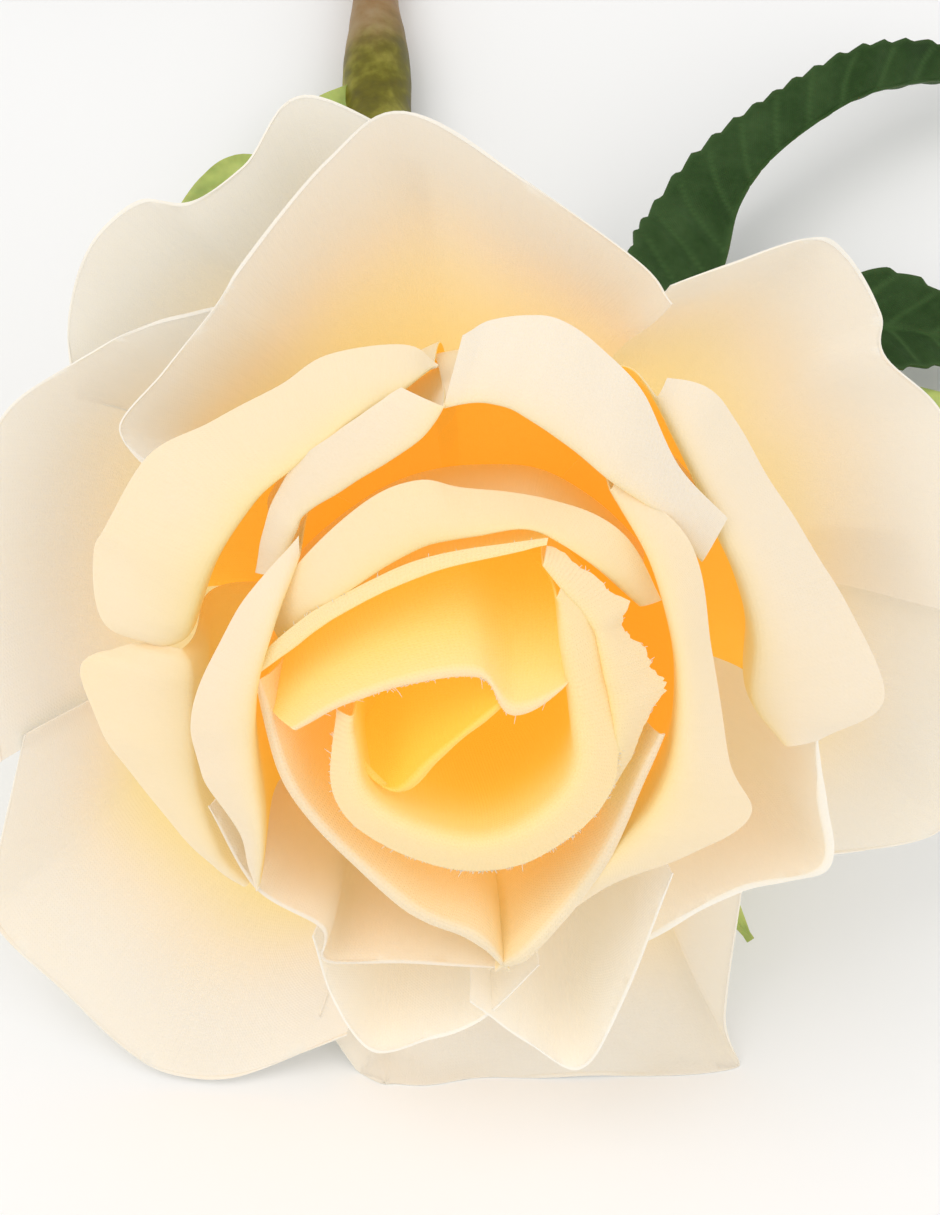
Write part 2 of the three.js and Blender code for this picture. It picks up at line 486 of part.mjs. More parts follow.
// Leaves: a stalk from a knot of the stem, and three blades on it.
const leaves = [
  { name: 'leaf_near', stalk: [[-8, 68, 6], [12, 63, 7], [32, 57, 7], [51, 54, 6], [66, 50, 4], [78, 45, 2.5]],
    blades: [
      { name: 'side', width: 22, halves: [15, -140], taper: [0.25, 0.8, 1, 0.72, 0.54, 0.44, 0.42, 0.35, 0.05],
        path: [[21, 47, 7], [26, 59, 9], [29, 70, 10], [30.5, 78.5, 11], [35, 85.5, 12], [43.5, 93, 12],
          [50, 96.5, 11], [58, 99.5, 8], [70, 101, 3]] },
      { name: 'back', width: 15, halves: [10, 10], taper: [0.4, 1, 0.6, 0.55, 0.4, 0.05],
        path: [[38, 59.5, 8.5], [47, 62, 8.5], [56, 60.5, 8], [66, 58.5, 6], [78, 56, 4], [88, 55, 3]] },
      { name: 'tip', width: 30, halves: [12, 12],
        path: [[79, 44.5, 2.5], [92, 38, 6], [110, 31, 7], [130, 27, 2]] },
    ] },
  { name: 'leaf_far', stalk: [[-12, 145, 5], [-26, 158, 8], [-40, 169, 6], [-54, 176, 3], [-62, 180, 2.5]],
    blades: [
      { name: 'side', width: 24, halves: [12, 12],
        path: [[-38, 168, 6], [-46, 156, 8], [-58, 144, 6], [-72, 136, 2]] },
      { name: 'back', width: 24, halves: [10, 10],
        path: [[-36, 167, 7], [-34, 183, 9], [-38, 201, 7], [-46, 214, 2]] },
      { name: 'tip', width: 28, halves: [12, 12],
        path: [[-63, 180.5, 2.5], [-76, 187, 6], [-92, 192, 6], [-110, 194, 2]] },
    ] },
];
leaves.forEach((leaf) => {
  const stalk = curveThrough(leaf.stalk);
  addPiece(`${leaf.name}_stalk`, rod(stalk, () => leafStalkRadius, 0, 16, 8),
    rod(stalk, () => leafStalkRadius + fitGap, 0, 16, 8), finishes.stem);
  leaf.blades.forEach(({ name, path, width, halves, taper }) => {
    const blade = bladeSurface(curveThrough(path), width, halves, leafThickness, taper);
    addPiece(`${leaf.name}_${name}`, clothSolid(blade, 6, 10, leafThickness),
      clothSolid(blade, 6, 10, leafThickness, fitGap), finishes.leaf);
  });
});

// The middle of the whole, on the table, is the row's zero.
const whole = new THREE.Box3().setFromObject(flower);
const middle = whole.getCenter(vec(0, 0, 0));
flower.position.set(-middle.x, -middle.y, -whole.min.z);

export default flower;
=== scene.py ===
import math
import random

import bpy
import numpy as np
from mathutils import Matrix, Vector


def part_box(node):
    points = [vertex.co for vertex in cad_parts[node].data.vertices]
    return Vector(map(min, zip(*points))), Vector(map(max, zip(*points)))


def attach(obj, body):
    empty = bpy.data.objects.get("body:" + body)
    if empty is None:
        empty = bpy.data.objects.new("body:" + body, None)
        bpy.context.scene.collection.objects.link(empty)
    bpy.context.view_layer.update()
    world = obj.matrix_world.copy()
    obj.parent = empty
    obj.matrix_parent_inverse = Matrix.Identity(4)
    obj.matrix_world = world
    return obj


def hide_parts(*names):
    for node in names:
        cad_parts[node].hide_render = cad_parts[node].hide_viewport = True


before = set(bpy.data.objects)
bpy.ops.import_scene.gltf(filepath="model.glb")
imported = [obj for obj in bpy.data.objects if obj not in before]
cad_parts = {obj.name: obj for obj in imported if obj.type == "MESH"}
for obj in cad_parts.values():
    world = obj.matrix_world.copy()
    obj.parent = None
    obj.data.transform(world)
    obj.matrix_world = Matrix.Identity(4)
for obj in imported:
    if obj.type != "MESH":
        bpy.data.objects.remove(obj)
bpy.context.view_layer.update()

mm = 0.001
print("frame loaded")


# The bloom's own frame: x right, y up across the bloom, z out along its axis, from the petals' seat.
bloom = {
    "rise": 31,          # degrees the axis points above the table
    "height": 42.5,       # of the seat above the table, mm
    "coreTop": 16,
    "coreTipRadius": 2,
    "seatRadius": 4.3,
    "seatSpread": 0.05,  # each next petal sits this much further out
    "seatTop": 13,
    "seatStep": 0.62,    # and this much lower
    "wallShare": 0.62,   # how far along the cloth the rolled edge begins
    "wallPull": 0.35,    # how long the wall keeps its slope below the fold
    "rollEase": 0.4,     # how soon the edge rolls over, from either side
    "rollEnds": (0.02, 0.98),
    "floorGap": 0.05,    # mm that cloth is kept off the table
}
rise = math.radians(bloom["rise"])
coreLow, coreHigh = [Vector(corner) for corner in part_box("flower_core")]
seatPoint = np.array([
    (coreLow.x + coreHigh.x) / 2 / mm,
    coreLow.y / mm + bloom["coreTop"] * math.cos(rise) + bloom["coreTipRadius"] * math.sin(rise),
    bloom["height"]])
bloomAxes = np.array([[1, 0, 0], [0, math.sin(rise), math.cos(rise)], [0, -math.cos(rise), math.sin(rise)]])


def toRow(points):
    # bloom frame to the row's frame, both in mm
    return np.asarray(points, float) @ bloomAxes + seatPoint


def fromSeat(points):
    # points given from the spot on the table under the seat
    return np.asarray(points, float) + seatPoint * (1, 1, 0)


# Camera
view = {
    "elevation": 55,
    "distance": 560,     # mm from the petals' seat
    "frameHeight": 126,  # mm seen at that distance
    "aimBelow": 1.1,     # mm that the middle of the frame lies below the seat
}
elevation = math.radians(view["elevation"])
towards = Vector((0, -math.cos(elevation), math.sin(elevation)))
upwards = Vector((0, math.sin(elevation), math.cos(elevation)))
aim = Vector(seatPoint * mm) - upwards * view["aimBelow"] * mm
bpy.ops.object.camera_add(location=aim + towards * view["distance"] * mm)
camera = bpy.context.object
camera.rotation_euler = (math.pi / 2 - elevation, 0, 0)
camera.data.sensor_width = 36
camera.data.lens = 36 * view["distance"] / view["frameHeight"]
camera.data.clip_start = 0.02
bpy.context.scene.camera = camera
bpy.context.scene.view_settings.view_transform = "Standard"
print("camera placed")


# Shader maths as expressions
class Value:
    def __init__(self, tree, socket):
        self.tree = tree
        self.socket = socket

    def maths(self, operation, *others):
        node = self.tree.nodes.new("ShaderNodeMath")
        node.operation = operation
        for slot, other in enumerate((self,) + others):
            if isinstance(other, Value):
                self.tree.links.new(other.socket, node.inputs[slot])
            else:
                node.inputs[slot].default_value = other
        return Value(self.tree, node.outputs[0])

    def __add__(self, other):
        return self.maths("ADD", other)

    def __mul__(self, other):
        return self.maths("MULTIPLY", other)

    def __sub__(self, other):
        return self.maths("SUBTRACT", other)

    def sine(self):
        return self.maths("SINE")

    def within(self, low, high):
        # 0 below low, 1 above high, smooth between
        node = self.tree.nodes.new("ShaderNodeMapRange")
        node.interpolation_type = "SMOOTHSTEP"
        self.tree.links.new(self.socket, node.inputs[0])
        node.inputs[1].default_value = low
        node.inputs[2].default_value = high
        return Value(self.tree, node.outputs[0])


class Finish:
    # One material. node() adds any node: its type, its settings, and its sockets' values or links.
    def __init__(self, name, **constants):
        self.material = bpy.data.materials.new(name)
        self.material.use_nodes = True
        self.tree = self.material.node_tree
        self.shader = self.tree.nodes["Principled BSDF"]
        for socket, value in constants.items():
            self.shader.inputs[socket.replace("_", " ")].default_value = value

    def node(self, kind, settings=None, output=0, **sockets):
        made = self.tree.nodes.new(kind)
        for key, value in (settings or {}).items():
            if key == "stops":
                ramp = made.color_ramp
                while len(ramp.elements) > 1:
                    ramp.elements.remove(ramp.elements[-1])
                for count, (place, colour) in enumerate(value):
                    stop = ramp.elements[0] if count == 0 else ramp.elements.new(place)
                    stop.position = place
                    stop.color = (*colour, 1)
            else:
                setattr(made, key, value)
        for name, value in sockets.items():
            socket = made.inputs[int(name[1:])] if name[0] == "i" and name[1:].isdigit() \
                else made.inputs[name.replace("_", " ")]
            self.plug(socket, value)
        return Value(self.tree, made.outputs[output])

    def plug(self, socket, value):
        if isinstance(value, Value):
            self.tree.links.new(value.socket, socket)
        else:
            socket.default_value = value

    def feed(self, socket, value):
        self.plug(self.shader.inputs[socket], value)

    def attribute(self, name):
        return self.node("ShaderNodeAttribute", {"attribute_name": name}, output=2)

    def place(self):
        return self.node("ShaderNodeTexCoord", output=3)

    def flat(self, name):
        return self.node("ShaderNodeUVMap", {"uv_map": name})

    def noise(self, scale, detail=3, where=None):
        return self.node("ShaderNodeTexNoise", Vector=where or self.place(), Scale=scale, Detail=detail)

    def ramp(self, value, stops):
        return self.node("ShaderNodeValToRGB", {"stops": stops}, Fac=value)

    def blend(self, share, first, second):
        return self.node("ShaderNodeMix", {"data_type": "RGBA"}, output=2, i0=share, i6=first, i7=second)

    def bump(self, height, strength, distance, **under):
        # distance in mm
        return self.node(
            "ShaderNodeBump", Strength=strength, Distance=distance * mm, Height=height, **under)

    def rough(self, noise, least, more):
        self.feed("Roughness", noise * more + least)

    def threads(self, cut, pitch):
        # waves of the warp and of the weft, pitch mm apart on the flat cloth
        turn = 2 * math.pi / pitch
        across = self.node("ShaderNodeSeparateXYZ", Vector=cut)
        along = self.node("ShaderNodeSeparateXYZ", output=1, Vector=cut)
        return (across * turn).sine(), (along * turn).sine()


def paint(*levels):
    # screen colour, 0 to 255, to linear light
    shares = [level / 255 for level in levels]
    return tuple(share / 12.92 if share < 0.04045 else ((share + 0.055) / 1.055) ** 2.4 for share in shares)


# Both lists go by warmth, from 0 at a pale edge to 1 in the depth of the bloom. The orange towards the
# depth is partly the cloth's dye and partly painted crevice shade. The glow is painted light: an emission
# that stands in for light that comes through the cloth and bounces between the layers. It is golden,
# strongest where the layers are deep, and at the pale end it lifts the shade.
petalFinish = {
    "threadPitch": 0.36,          # mm between threads
    "threadHeight": 0.06,         # mm
    "creaseScale": (1.1, 0.13, 1),  # creases run from base to edge
    "creaseHeight": 0.5,          # mm
    "creaseStrength": 0.18,
    "creaseDetail": 5,
    "creaseShare": 0.8,           # the rest is crumpling that runs no particular way
    "crumpleScale": 160,
    "plainThreads": 0.25,         # how much of each thread shows outside the crossings
    "crossings": 0.5,
    "roughness": (0.62, 0.12),    # least, and what the mottling adds
    "mottleScale": 90,
    "mottleShare": 0.07,          # how far the dye wanders
    # dye and painted crevice shade: cream at the pale edge, deep orange in the depth of the bloom
    "dyeAndShade": [(0.0, paint(237, 226, 208)), (0.16, paint(245, 223, 192)), (0.42, paint(250, 218, 154)),
            (0.72, paint(248, 186, 72)), (1.0, paint(244, 168, 42))],
    # painted glow: emission that adds golden light in the deep layers
    "glow": [(0.42, (0.18, 0.19, 0.06)), (0.72, (0.62, 0.39, 0.05)), (1.0, (0.8, 0.47, 0.04))],
}


def petalMaterial(name, weave, paintedGlowStrength, paintedPaleGlow):
    look = petalFinish
    # the emission is painted glow, coloured by the warm tone
    finish = Finish(name, Subsurface_Weight=0.25, Subsurface_Scale=2 * mm, Subsurface_Radius=(1, 0.85, 0.6),
                    Sheen_Weight=0.04, Emission_Strength=paintedGlowStrength, Specular_IOR_Level=0.2)
    mottle = finish.noise(look["mottleScale"], 4)
    # the warm tone carries the dye together with the painted crevice shade
    tone = finish.attribute("warmthAndShade") + (mottle - 0.5) * look["mottleShare"]
    finish.feed("Base Color", finish.ramp(tone, look["dyeAndShade"]))
    finish.feed("Emission Color", finish.ramp(tone, [(0.0, paintedPaleGlow)] + look["glow"]))
    finish.rough(mottle, *look["roughness"])
    cut = finish.flat("cut")
    warp, weft = finish.threads(cut, look["threadPitch"])
    cloth = warp * weft * look["crossings"] + (warp + weft) * look["plainThreads"]
    fine = finish.bump(cloth, weave, look["threadHeight"])
    drawn = finish.node("ShaderNodeMapping", Vector=cut, Scale=look["creaseScale"])
    share = look["creaseShare"]
    creases = finish.noise(1, look["creaseDetail"], drawn) * share \
        + finish.noise(look["crumpleScale"], look["creaseDetail"]) * (1 - share)
    finish.feed("Normal", finish.bump(creases, look["creaseStrength"], look["creaseHeight"], Normal=fine))
    return finish.material


# paintedPaleGlow is painted glow at the pale end of the tone; it lifts the shade, most on the low and outer
# petals
heartCloth = petalMaterial("heartCloth", weave=0.5, paintedGlowStrength=0.5, paintedPaleGlow=(0.05, 0.06, 0.05))
middleCloth = petalMaterial("middleCloth", weave=0.2, paintedGlowStrength=0.42, paintedPaleGlow=(0.09, 0.1, 0.1))
lowCloth = petalMaterial("lowCloth", weave=0.18, paintedGlowStrength=0.5, paintedPaleGlow=(0.25, 0.31, 0.34))
outerCloth = petalMaterial("outerCloth", weave=0.18, paintedGlowStrength=0.5, paintedPaleGlow=(0.16, 0.2, 0.225))
print("cloth finishes made")


# Petals, from the heart outwards. arc: directions of a petal's two sides from the core, in degrees.
# rim: the cut edge, from one side to the other. bowl: [radius, height] that the cloth swells towards.
# lip: [width, lift, drop] of the rolled edge. fold: the line that the edge is rolled over, where the width
# alone won't do. lean: how far the wall's top leans out, in degrees. warm: how orange it is at the base and
# at the edge; the orange at the base is partly dye and partly painted crevice shade.
petals = [
    {"ring": "heart", "place": "fold", "arc": [215, 75],
     "bowl": [10, 22], "lip": [-1, 0.5, 0], "lean": -10, "warm": [0.95, 0.62],
     "rim": [[-12, 0.5, 33], [-10, -3, 34], [-6.5, -5, 35.5], [-3, -1, 37], [1.5, 3.5, 37.5], [4, 6, 37]]},
    {"ring": "heart", "place": "cup", "arc": [162, 424],
     "bowl": [13, 10], "lip": [5.2, 1.9, 0], "lean": 5, "warm": [0.95, 0.32],
     "rim": [[-13, 4, 36], [-13.5, -4.5, 36], [-9.5, -10, 36], [-2, -13.5, 36], [5, -13, 36],
             [11.5, -8.5, 36], [14.5, -2.5, 36], [14, 5, 36], [11.5, 14, 37], [9, 18, 37]]},
    {"ring": "heart", "place": "hood", "arc": [172, 36],
     "bowl": [20, 12], "lip": [-1.5, 0.5, 0], "lean": -40, "warm": [0.85, 0.28],
     "rim": [[-17, 2, 36], [-11.5, 5.5, 37.5], [-5, 8, 38.5], [1, 8.5, 38.5], [4, 4.5, 38],
             [8.5, 6.5, 37.5], [10, 9, 36]]},
    {"ring": "first", "place": "top", "arc": [165, 68],
     "bowl": [22, 9], "lip": [1.5, 0.6, 0.5], "lean": 5, "warm": [0.9, 0.34],
     "rim": [[-24, 4.5, 33], [-18.5, 11, 35], [-13.5, 15.5, 36], [-4, 20.5, 37], [7.5, 22.5, 37]]},
    {"ring": "first", "place": "right", "arc": [64, -34],
     "bowl": [19, 9], "lip": [4, 1, 0.5], "lean": 5, "warm": [0.85, 0.26],
     "rim": [[7.5, 22, 36], [11.5, 19, 36], [15.5, 15.5, 35.5], [15, 13, 35.5], [17, 11, 35.5],
             [18.5, 8, 35], [19.5, 6, 35], [17.5, 1.5, 34.5], [15.5, -3, 34], [12.5, -8, 34]],
     "fold": [[7, 19.5, 36.5], [9, 17, 37], [11, 14.5, 37], [12, 13, 37], [12.5, 10.5, 37], [13, 8, 37],
              [13.5, 5.5, 36.5], [14, 2, 36], [14, -2.5, 35], [12, -8, 34]]},
    {"ring": "first", "place": "left", "arc": [165, 280],
     "bowl": [21, 8], "lip": [1.5, 0.5, 0], "lean": 30, "warm": [0.5, 0.18],
     "rim": [[-21, 6, 33], [-17.5, -7, 33], [-7, -19, 33], [0.5, -23, 33], [4, -27, 32]]},
    {"ring": "first", "place": "low", "arc": [266, 362],
     "bowl": [21, 8], "lip": [1.5, 0.5, 0], "lean": 30, "warm": [0.52, 0.18],
     "rim": [[2.5, -27, 32], [6.5, -24, 33], [13.5, -14.5, 33], [19, 0.5, 34]]},
    {"ring": "second", "place": "top", "arc": [150, 36],
     "bowl": [27, 7], "lip": [5, 1.2, 0.5], "lean": 0, "warm": [0.9, 0.26],
     "rim": [[-20, 12, 32], [-16.5, 18.5, 33.5], [-10, 25, 34], [-5, 27.5, 34.5], [-1, 26.5, 34],
             [7.5, 25.5, 34], [14.5, 22, 34], [18.5, 14, 32]],
     "fold": [[-18.5, 9.5, 32], [-14, 14.5, 35], [-8, 19.5, 36], [-4, 21.5, 36], [0.5, 22.5, 36],
              [6, 23, 36], [11.5, 19.5, 35.5], [16.5, 13.5, 32]]},
    {"ring": "second", "place": "left", "arc": [128, 222],
     "bowl": [28, 6], "lip": [5, 1.5, 0.5], "lean": 5, "warm": [0.95, 0.16],
     "rim": [[-16.5, 21.5, 34], [-22.5, 13.5, 34], [-27, 3.5, 34], [-26.5, -4.5, 33], [-22.5, -11.5, 32],
             [-21.5, -19, 30]],
     "fold": [[-16.5, 19, 33], [-19.5, 11, 35], [-21, 4.5, 35], [-21, -2.5, 34], [-20.5, -10.5, 33],
              [-21, -17.5, 31]]},
    {"ring": "second", "place": "right", "arc": [62, -84],
     "bowl": [28, 6], "lip": [5, 1.5, 0.5], "lean": 8, "warm": [0.9, 0.2],
     "rim": [[14, 27, 33], [21, 21, 34], [23.5, 9.5, 34], [25.5, -3, 33], [28, -10, 31], [22, -14, 31],
             [13, -18, 31], [2, -28, 30]],
     "fold": [[13.5, 26, 33], [17.5, 19, 35], [20, 9, 35], [20, -1, 34], [18, -7.5, 33], [14, -13, 32],
              [8.5, -18.5, 31], [2, -27, 30]]},
    {"ring": "second", "place": "low", "arc": [198, 276],
     "bowl": [28, 4], "lip": [0.4, 0, 0], "lean": 30, "warm": [0.28, 0.04],
     "rim": [[-26, -9.5, 30], [-21.5, -18.5, 30], [-15, -23, 30], [-14.5, -27.5, 29], [-7, -27.5, 29],
             [3, -27, 31]]},
    {"ring": "third", "place": "top", "arc": [100, 36],
     "bowl": [38, 4], "lip": [9, 1.5, 1], "lean": 0, "warm": [0.9, 0.06],
     "rim": [[-0.5, 40.5, 30], [2, 42.5, 31], [5.5, 43.5, 32], [8.5, 43, 32], [12, 40.5, 32],
             [16.5, 35.5, 32], [20, 28, 32], [25, 22, 31]],
     "fold": [[-2.5, 34.5, 33], [0.5, 35.5, 34], [3, 35, 34], [6, 33.5, 34], [9.5, 31, 34], [14, 27, 34],
              [18, 23.5, 33], [22.5, 17.5, 31]]},
    {"ring": "third", "place": "crest", "arc": [140, 93],
     "bowl": [37, 4], "lip": [4, 1, 0.5], "lean": 5, "warm": [0.8, 0.14],
     "rim": [[-21, 15, 28], [-19.5, 21.5, 30], [-17.5, 27, 31], [-13.5, 31, 32], [-10, 33.5, 32],
             [-6.5, 36, 32]],
     "fold": [[-18.5, 16, 31], [-17, 21, 32], [-15.5, 23.5, 32.5], [-11, 27, 33.5], [-5, 31.5, 34],
              [-2.5, 35, 34]]},
    {"ring": "third", "place": "left", "arc": [94, 172],
     "bowl": [38, 1], "lip": [12, 1.5, 4], "lean": 15, "warm": [0.9, 0.2],
     "rim": [[-3, 37, 28], [-6, 38, 26], [-13.5, 36.5, 25], [-18.5, 33, 24], [-25, 29, 23],
             [-31.5, 25, 22], [-36, 17, 21], [-37.5, 13.5, 20], [-36.5, 7, 21], [-32, 5, 22]],
     "fold": [[-3.5, 36.5, 28], [-6.5, 35, 30], [-11.5, 32, 31], [-15, 29, 31], [-19, 25.5, 30.5],
              [-21.5, 22.5, 30], [-25, 16.5, 29], [-27, 10, 27], [-28, 7, 25], [-30, 5, 23]]},
    {"ring": "third", "place": "side", "arc": [170, 226],
     "bowl": [36, 1], "lip": [6, 1, 1], "lean": 25, "warm": [0.6, 0.22],
     "rim": [[-32, 5, 22], [-35.5, 3.5, 21], [-39, 1, 20], [-37, -5.5, 21], [-33, -12, 21],
             [-27.5, -18.5, 22], [-23, -22, 22]],
     "fold": [[-28.5, 5.5, 25], [-27.5, 4, 26], [-27.5, 0.5, 26], [-27.5, -4, 26], [-27, -10.5, 25],
              [-25, -17.5, 24], [-22.5, -21.5, 23]]},
    {"ring": "third", "place": "right", "arc": [68, -10],
     "bowl": [38, 1], "lip": [11, 1.5, 3], "lean": 15, "warm": [0.9, 0.1],
     "rim": [[19, 35, 27], [23, 34, 27], [26, 30, 26], [30, 22.5, 25], [34, 15, 24], [37.5, 9, 23],
             [41.5, -1.5, 22], [35, -6, 22]],
     "fold": [[18, 33.5, 28], [19.5, 30.5, 29], [21.5, 26, 29], [24, 20, 29], [26.5, 14, 28],
              [28, 7.5, 27], [28, 0, 25], [31.5, -6, 23]]},
    {"ring": "third", "place": "low", "arc": [238, 282],
     "bowl": [34, 0], "lip": [0.4, 0, 0], "lean": 35, "warm": [0.2, 0],
     "rim": [[-16, -27, 24], [-14, -34.5, 24], [-10, -41, 23], [-4, -39.5, 23], [1.5, -36.5, 24],
             [7, -30, 25]]},
    {"ring": "third", "place": "front", "arc": [266, 318],
     "bowl": [34, -1], "lip": [0.4, 0, 0], "lean": 35, "warm": [0.14, 0],
     "rim": [[0, -34, 25], [6, -39.5, 24], [11.5, -43, 23], [15.5, -35, 24], [20.5, -19.5, 25]]},
    {"ring": "third", "place": "corner", "arc": [352, 302],
     "bowl": [36, -1], "lip": [1, 0.1, 0.2], "lean": 30, "warm": [0.26, 0.02],
     "rim": [[35, -6, 21], [36, -13.5, 20], [36.5, -21.5, 20], [28, -24, 20], [18, -29, 21]]},
    {"ring": "outer", "place": "top", "arc": [62, 158],
     "bowl": [38, -5], "lip": [0.3, 0, 0], "lean": 55, "warm": [0.5, 0],
     "rim": [[20, 37, 12], [17, 41, 11], [5, 49.5, 10], [-6.5, 56, 9], [-14, 51, 9], [-22.5, 40.5, 10],
             [-25.5, 36, 11], [-30.5, 30, 12], [-35, 24.5, 14], [-31, 21.5, 17]]},
    {"ring": "outer", "place": "right", "arc": [62, 2],
     "bowl": [38, -6], "lip": [0.3, 0, 0], "lean": 55, "warm": [0.5, 0],
     "rim": [[20, 37.5, 8], [26, 40, 8], [33.5, 42.5, 8], [37.5, 40.5, 8], [41, 34.5, 8], [41.5, 30, 8],
             [47.5, 24, 9], [49, 14.5, 9], [48.5, 2.5, 9]]},
    {"ring": "outer", "place": "left", "arc": [122, 198],
     "bowl": [38, -6], "lip": [0.3, 0, 0], "lean": 55, "warm": [0.5, 0],
     "rim": [[-25.5, 34.5, 7], [-33, 32.5, 7], [-39.5, 29, 7], [-48, 22, 9], [-49.5, 3.5, 9],
             [-48.5, -14.5, 9]]},
    {"ring": "outer", "place": "corner", "arc": [198, 256],
     "bowl": [38, -6], "lip": [0.3, 0, 0], "lean": 60, "warm": [0.95, 0.03],
     "rim": [[-46, -12, 8], [-50, -29.5, 7], [-49.5, -35, 7], [-42, -44, 7], [-34, -51.5, 7],
             [-24.5, -52.5, 7], [-13, -47, 8]]},
    {"ring": "outer", "place": "low", "arc": [250, 318],
     "bowl": [38, -7], "lip": [0.3, 0, 0], "lean": 62, "warm": [0.7, 0.04],
     "rim": [[-16, -46, 6], [-10.5, -55, 6], [-7.5, -55.5, 6], [0, -54, 6], [13, -53, 6], [28, -53.5, 5],
             [27, -46.5, 6], [28.5, -29, 8]]},
    {"ring": "outer", "place": "side", "arc": [12, -36],
     "bowl": [38, -8], "lip": [0.3, 0, 0], "lean": 60, "warm": [0.6, 0.02],
     "rim": [[46, 10, 6], [50, -2.5, 5], [51.5, -14, 5], [49.5, -24.5, 5], [35, -27, 6]]},
    {"ring": "outer", "place": "back", "arc": [92, 150],
     "bowl": [38, -9], "lip": [0.3, 0, 0], "lean": 65, "warm": [0.4, 0],
     "rim": [[-4, 50, 4], [-16.5, 55.5, 3], [-22.5, 48.5, 3], [-28, 44.5, 3], [-33, 44.5, 3], [-38, 40, 3],
             [-40.5, 32, 3], [-40, 24, 4]]},
]
ringSlots = {
    "heart": "petal_heart", "first": "petal_heart",
    "second": "petal_middle", "third": "petal_middle",
    "outer": "petal_outer",
}
for petal in petals:
    petal["name"] = petal["ring"] + petal["place"].capitalize() + "Petal"
    petal["node"] = "petal_" + petal["ring"] + "_" + petal["place"]
    petal["slot"] = ringSlots[petal["ring"]]


def thread(points, share):
    # a smooth curve through points, at shares 0 to 1 of the way, evenly from point to point
    points = np.asarray(points, float)
    padded = np.vstack([2 * points[0] - points[1], points, 2 * points[-1] - points[-2]])
    step = np.clip(np.asarray(share, float), 0, 1) * (len(points) - 1)
    first = np.minimum(step.astype(int), len(points) - 2)
    t = (step - first)[..., None]
    a, b, c, d = padded[first], padded[first + 1], padded[first + 2], padded[first + 3]
    square = 2 * a - 5 * b + 4 * c - d
    cube = 3 * b - a - 3 * c + d
    return 0.5 * (2 * b + (c - a) * t + square * t ** 2 + cube * t ** 3)


def petalPoints(petal, order, across, along):
    # across and along are grids of 0 to 1; the result is in the bloom's frame, mm
    start, end = petal["arc"]
    turn = np.radians(start + (end - start) * across)
    out = np.stack([np.cos(turn), np.sin(turn), np.zeros_like(turn)], -1)
    up = np.array([0, 0, 1.0])
    edge = thread(petal["rim"], across)
    roll = (np.sin(np.pi * np.clip(across, *bloom["rollEnds"])) ** bloom["rollEase"])[..., None]
    lean = math.radians(petal["lean"])
    slope = up * math.cos(lean) + out * math.sin(lean)
    seatRadius = bloom["seatRadius"] + bloom["seatSpread"] * order
    foot = out * seatRadius + up * (bloom["seatTop"] - bloom["seatStep"] * order)
    width, lift, drop = petal["lip"]
    top = thread(petal["fold"], across) if "fold" in petal else edge - out * width * roll + up * drop * roll
    bowlRadius, bowlHeight = petal["bowl"]
    belly = out * bowlRadius + up * bowlHeight
    reach = np.linalg.norm(top - foot, axis=-1, keepdims=True)
    under = top - slope * bloom["wallPull"] * reach
    over = top + slope * 2 * lift * roll
    t = np.clip(along / bloom["wallShare"], 0, 1)[..., None]
    wall = foot * (1 - t) ** 3 + 3 * belly * t * (1 - t) ** 2 + 3 * under * t ** 2 * (1 - t) + top * t ** 3
    s = np.clip((along - bloom["wallShare"]) / (1 - bloom["wallShare"]), 0, 1)[..., None]
    lip = top * (1 - s) ** 2 + 2 * over * s * (1 - s) + edge * s ** 2
    return np.where(along[..., None] < bloom["wallShare"], wall, lip)


def pathLengths(points):
    # how far along a line of points each one lies
    return np.concatenate([[0], np.cumsum(np.linalg.norm(np.diff(points, axis=0), axis=1))])


def standIn(piece, node):
    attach(piece, "root")
    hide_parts(node)


def clothPiece(name, across, along, placeAll, material, thickness):
    # A grid of cloth whose points are moved to their places, then given its thickness. Its flat size and
    # its area are measured on the way, in metres.
    bpy.ops.object.select_all(action="DESELECT")
    bpy.ops.mesh.primitive_grid_add(x_subdivisions=across, y_subdivisions=along, size=1)
    piece = bpy.context.object
    piece.name = name
    mesh = piece.data
    flatPoints = np.empty(len(mesh.vertices) * 3)
    mesh.vertices.foreach_get("co", flatPoints)
    flatPoints = flatPoints.reshape(-1, 3) + 0.5
    points, measures = placeAll(flatPoints[:, 0], flatPoints[:, 1])
    mesh.vertices.foreach_set("co", (points * mm).ravel())
    cut = measures.pop("cut")
    for key, values in measures.items():
        layer = mesh.attributes.new(key, "FLOAT", "POINT")
        layer.data.foreach_set("value", values.astype(np.float32))
    uv = mesh.uv_layers[0]
    uv.name = "cut"
    corners = np.empty(len(mesh.loops), np.int32)
    mesh.loops.foreach_get("vertex_index", corners)
    uv.data.foreach_set("uv", cut[corners].ravel())
    mesh.update()
    order = np.lexsort((flatPoints[:, 0], flatPoints[:, 1]))
    rows = points[order].reshape(-1, len(np.unique(flatPoints[:, 0].round(5))), 3)
    width = np.linalg.norm(np.diff(rows, axis=1), axis=2).sum(axis=1).max() * mm
    length = np.linalg.norm(np.diff(rows, axis=0), axis=2).sum(axis=0).max() * mm
    area = sum(face.area for face in mesh.polygons)
    piece.data.materials.append(material)
    solidify = piece.modifiers.new("cloth", "SOLIDIFY")
    solidify.thickness = thickness * mm
    solidify.offset = 0
    bpy.ops.object.modifier_apply(modifier="cloth")
    bpy.ops.object.shade_smooth_by_angle(angle=math.radians(50))
    return piece, (width, length), area


def emptyCurve(name, sides):
    # a curve with no threads yet, whose points' radii will be in mm
    bpy.ops.object.select_all(action="DESELECT")
    bpy.ops.curve.primitive_nurbs_path_add()
    curve = bpy.context.object
    curve.name = name
    curve.location = (0, 0, 0)
    curve.data.splines.clear()
    curve.data.bevel_depth = mm
    curve.data.bevel_resolution = sides
    return curve


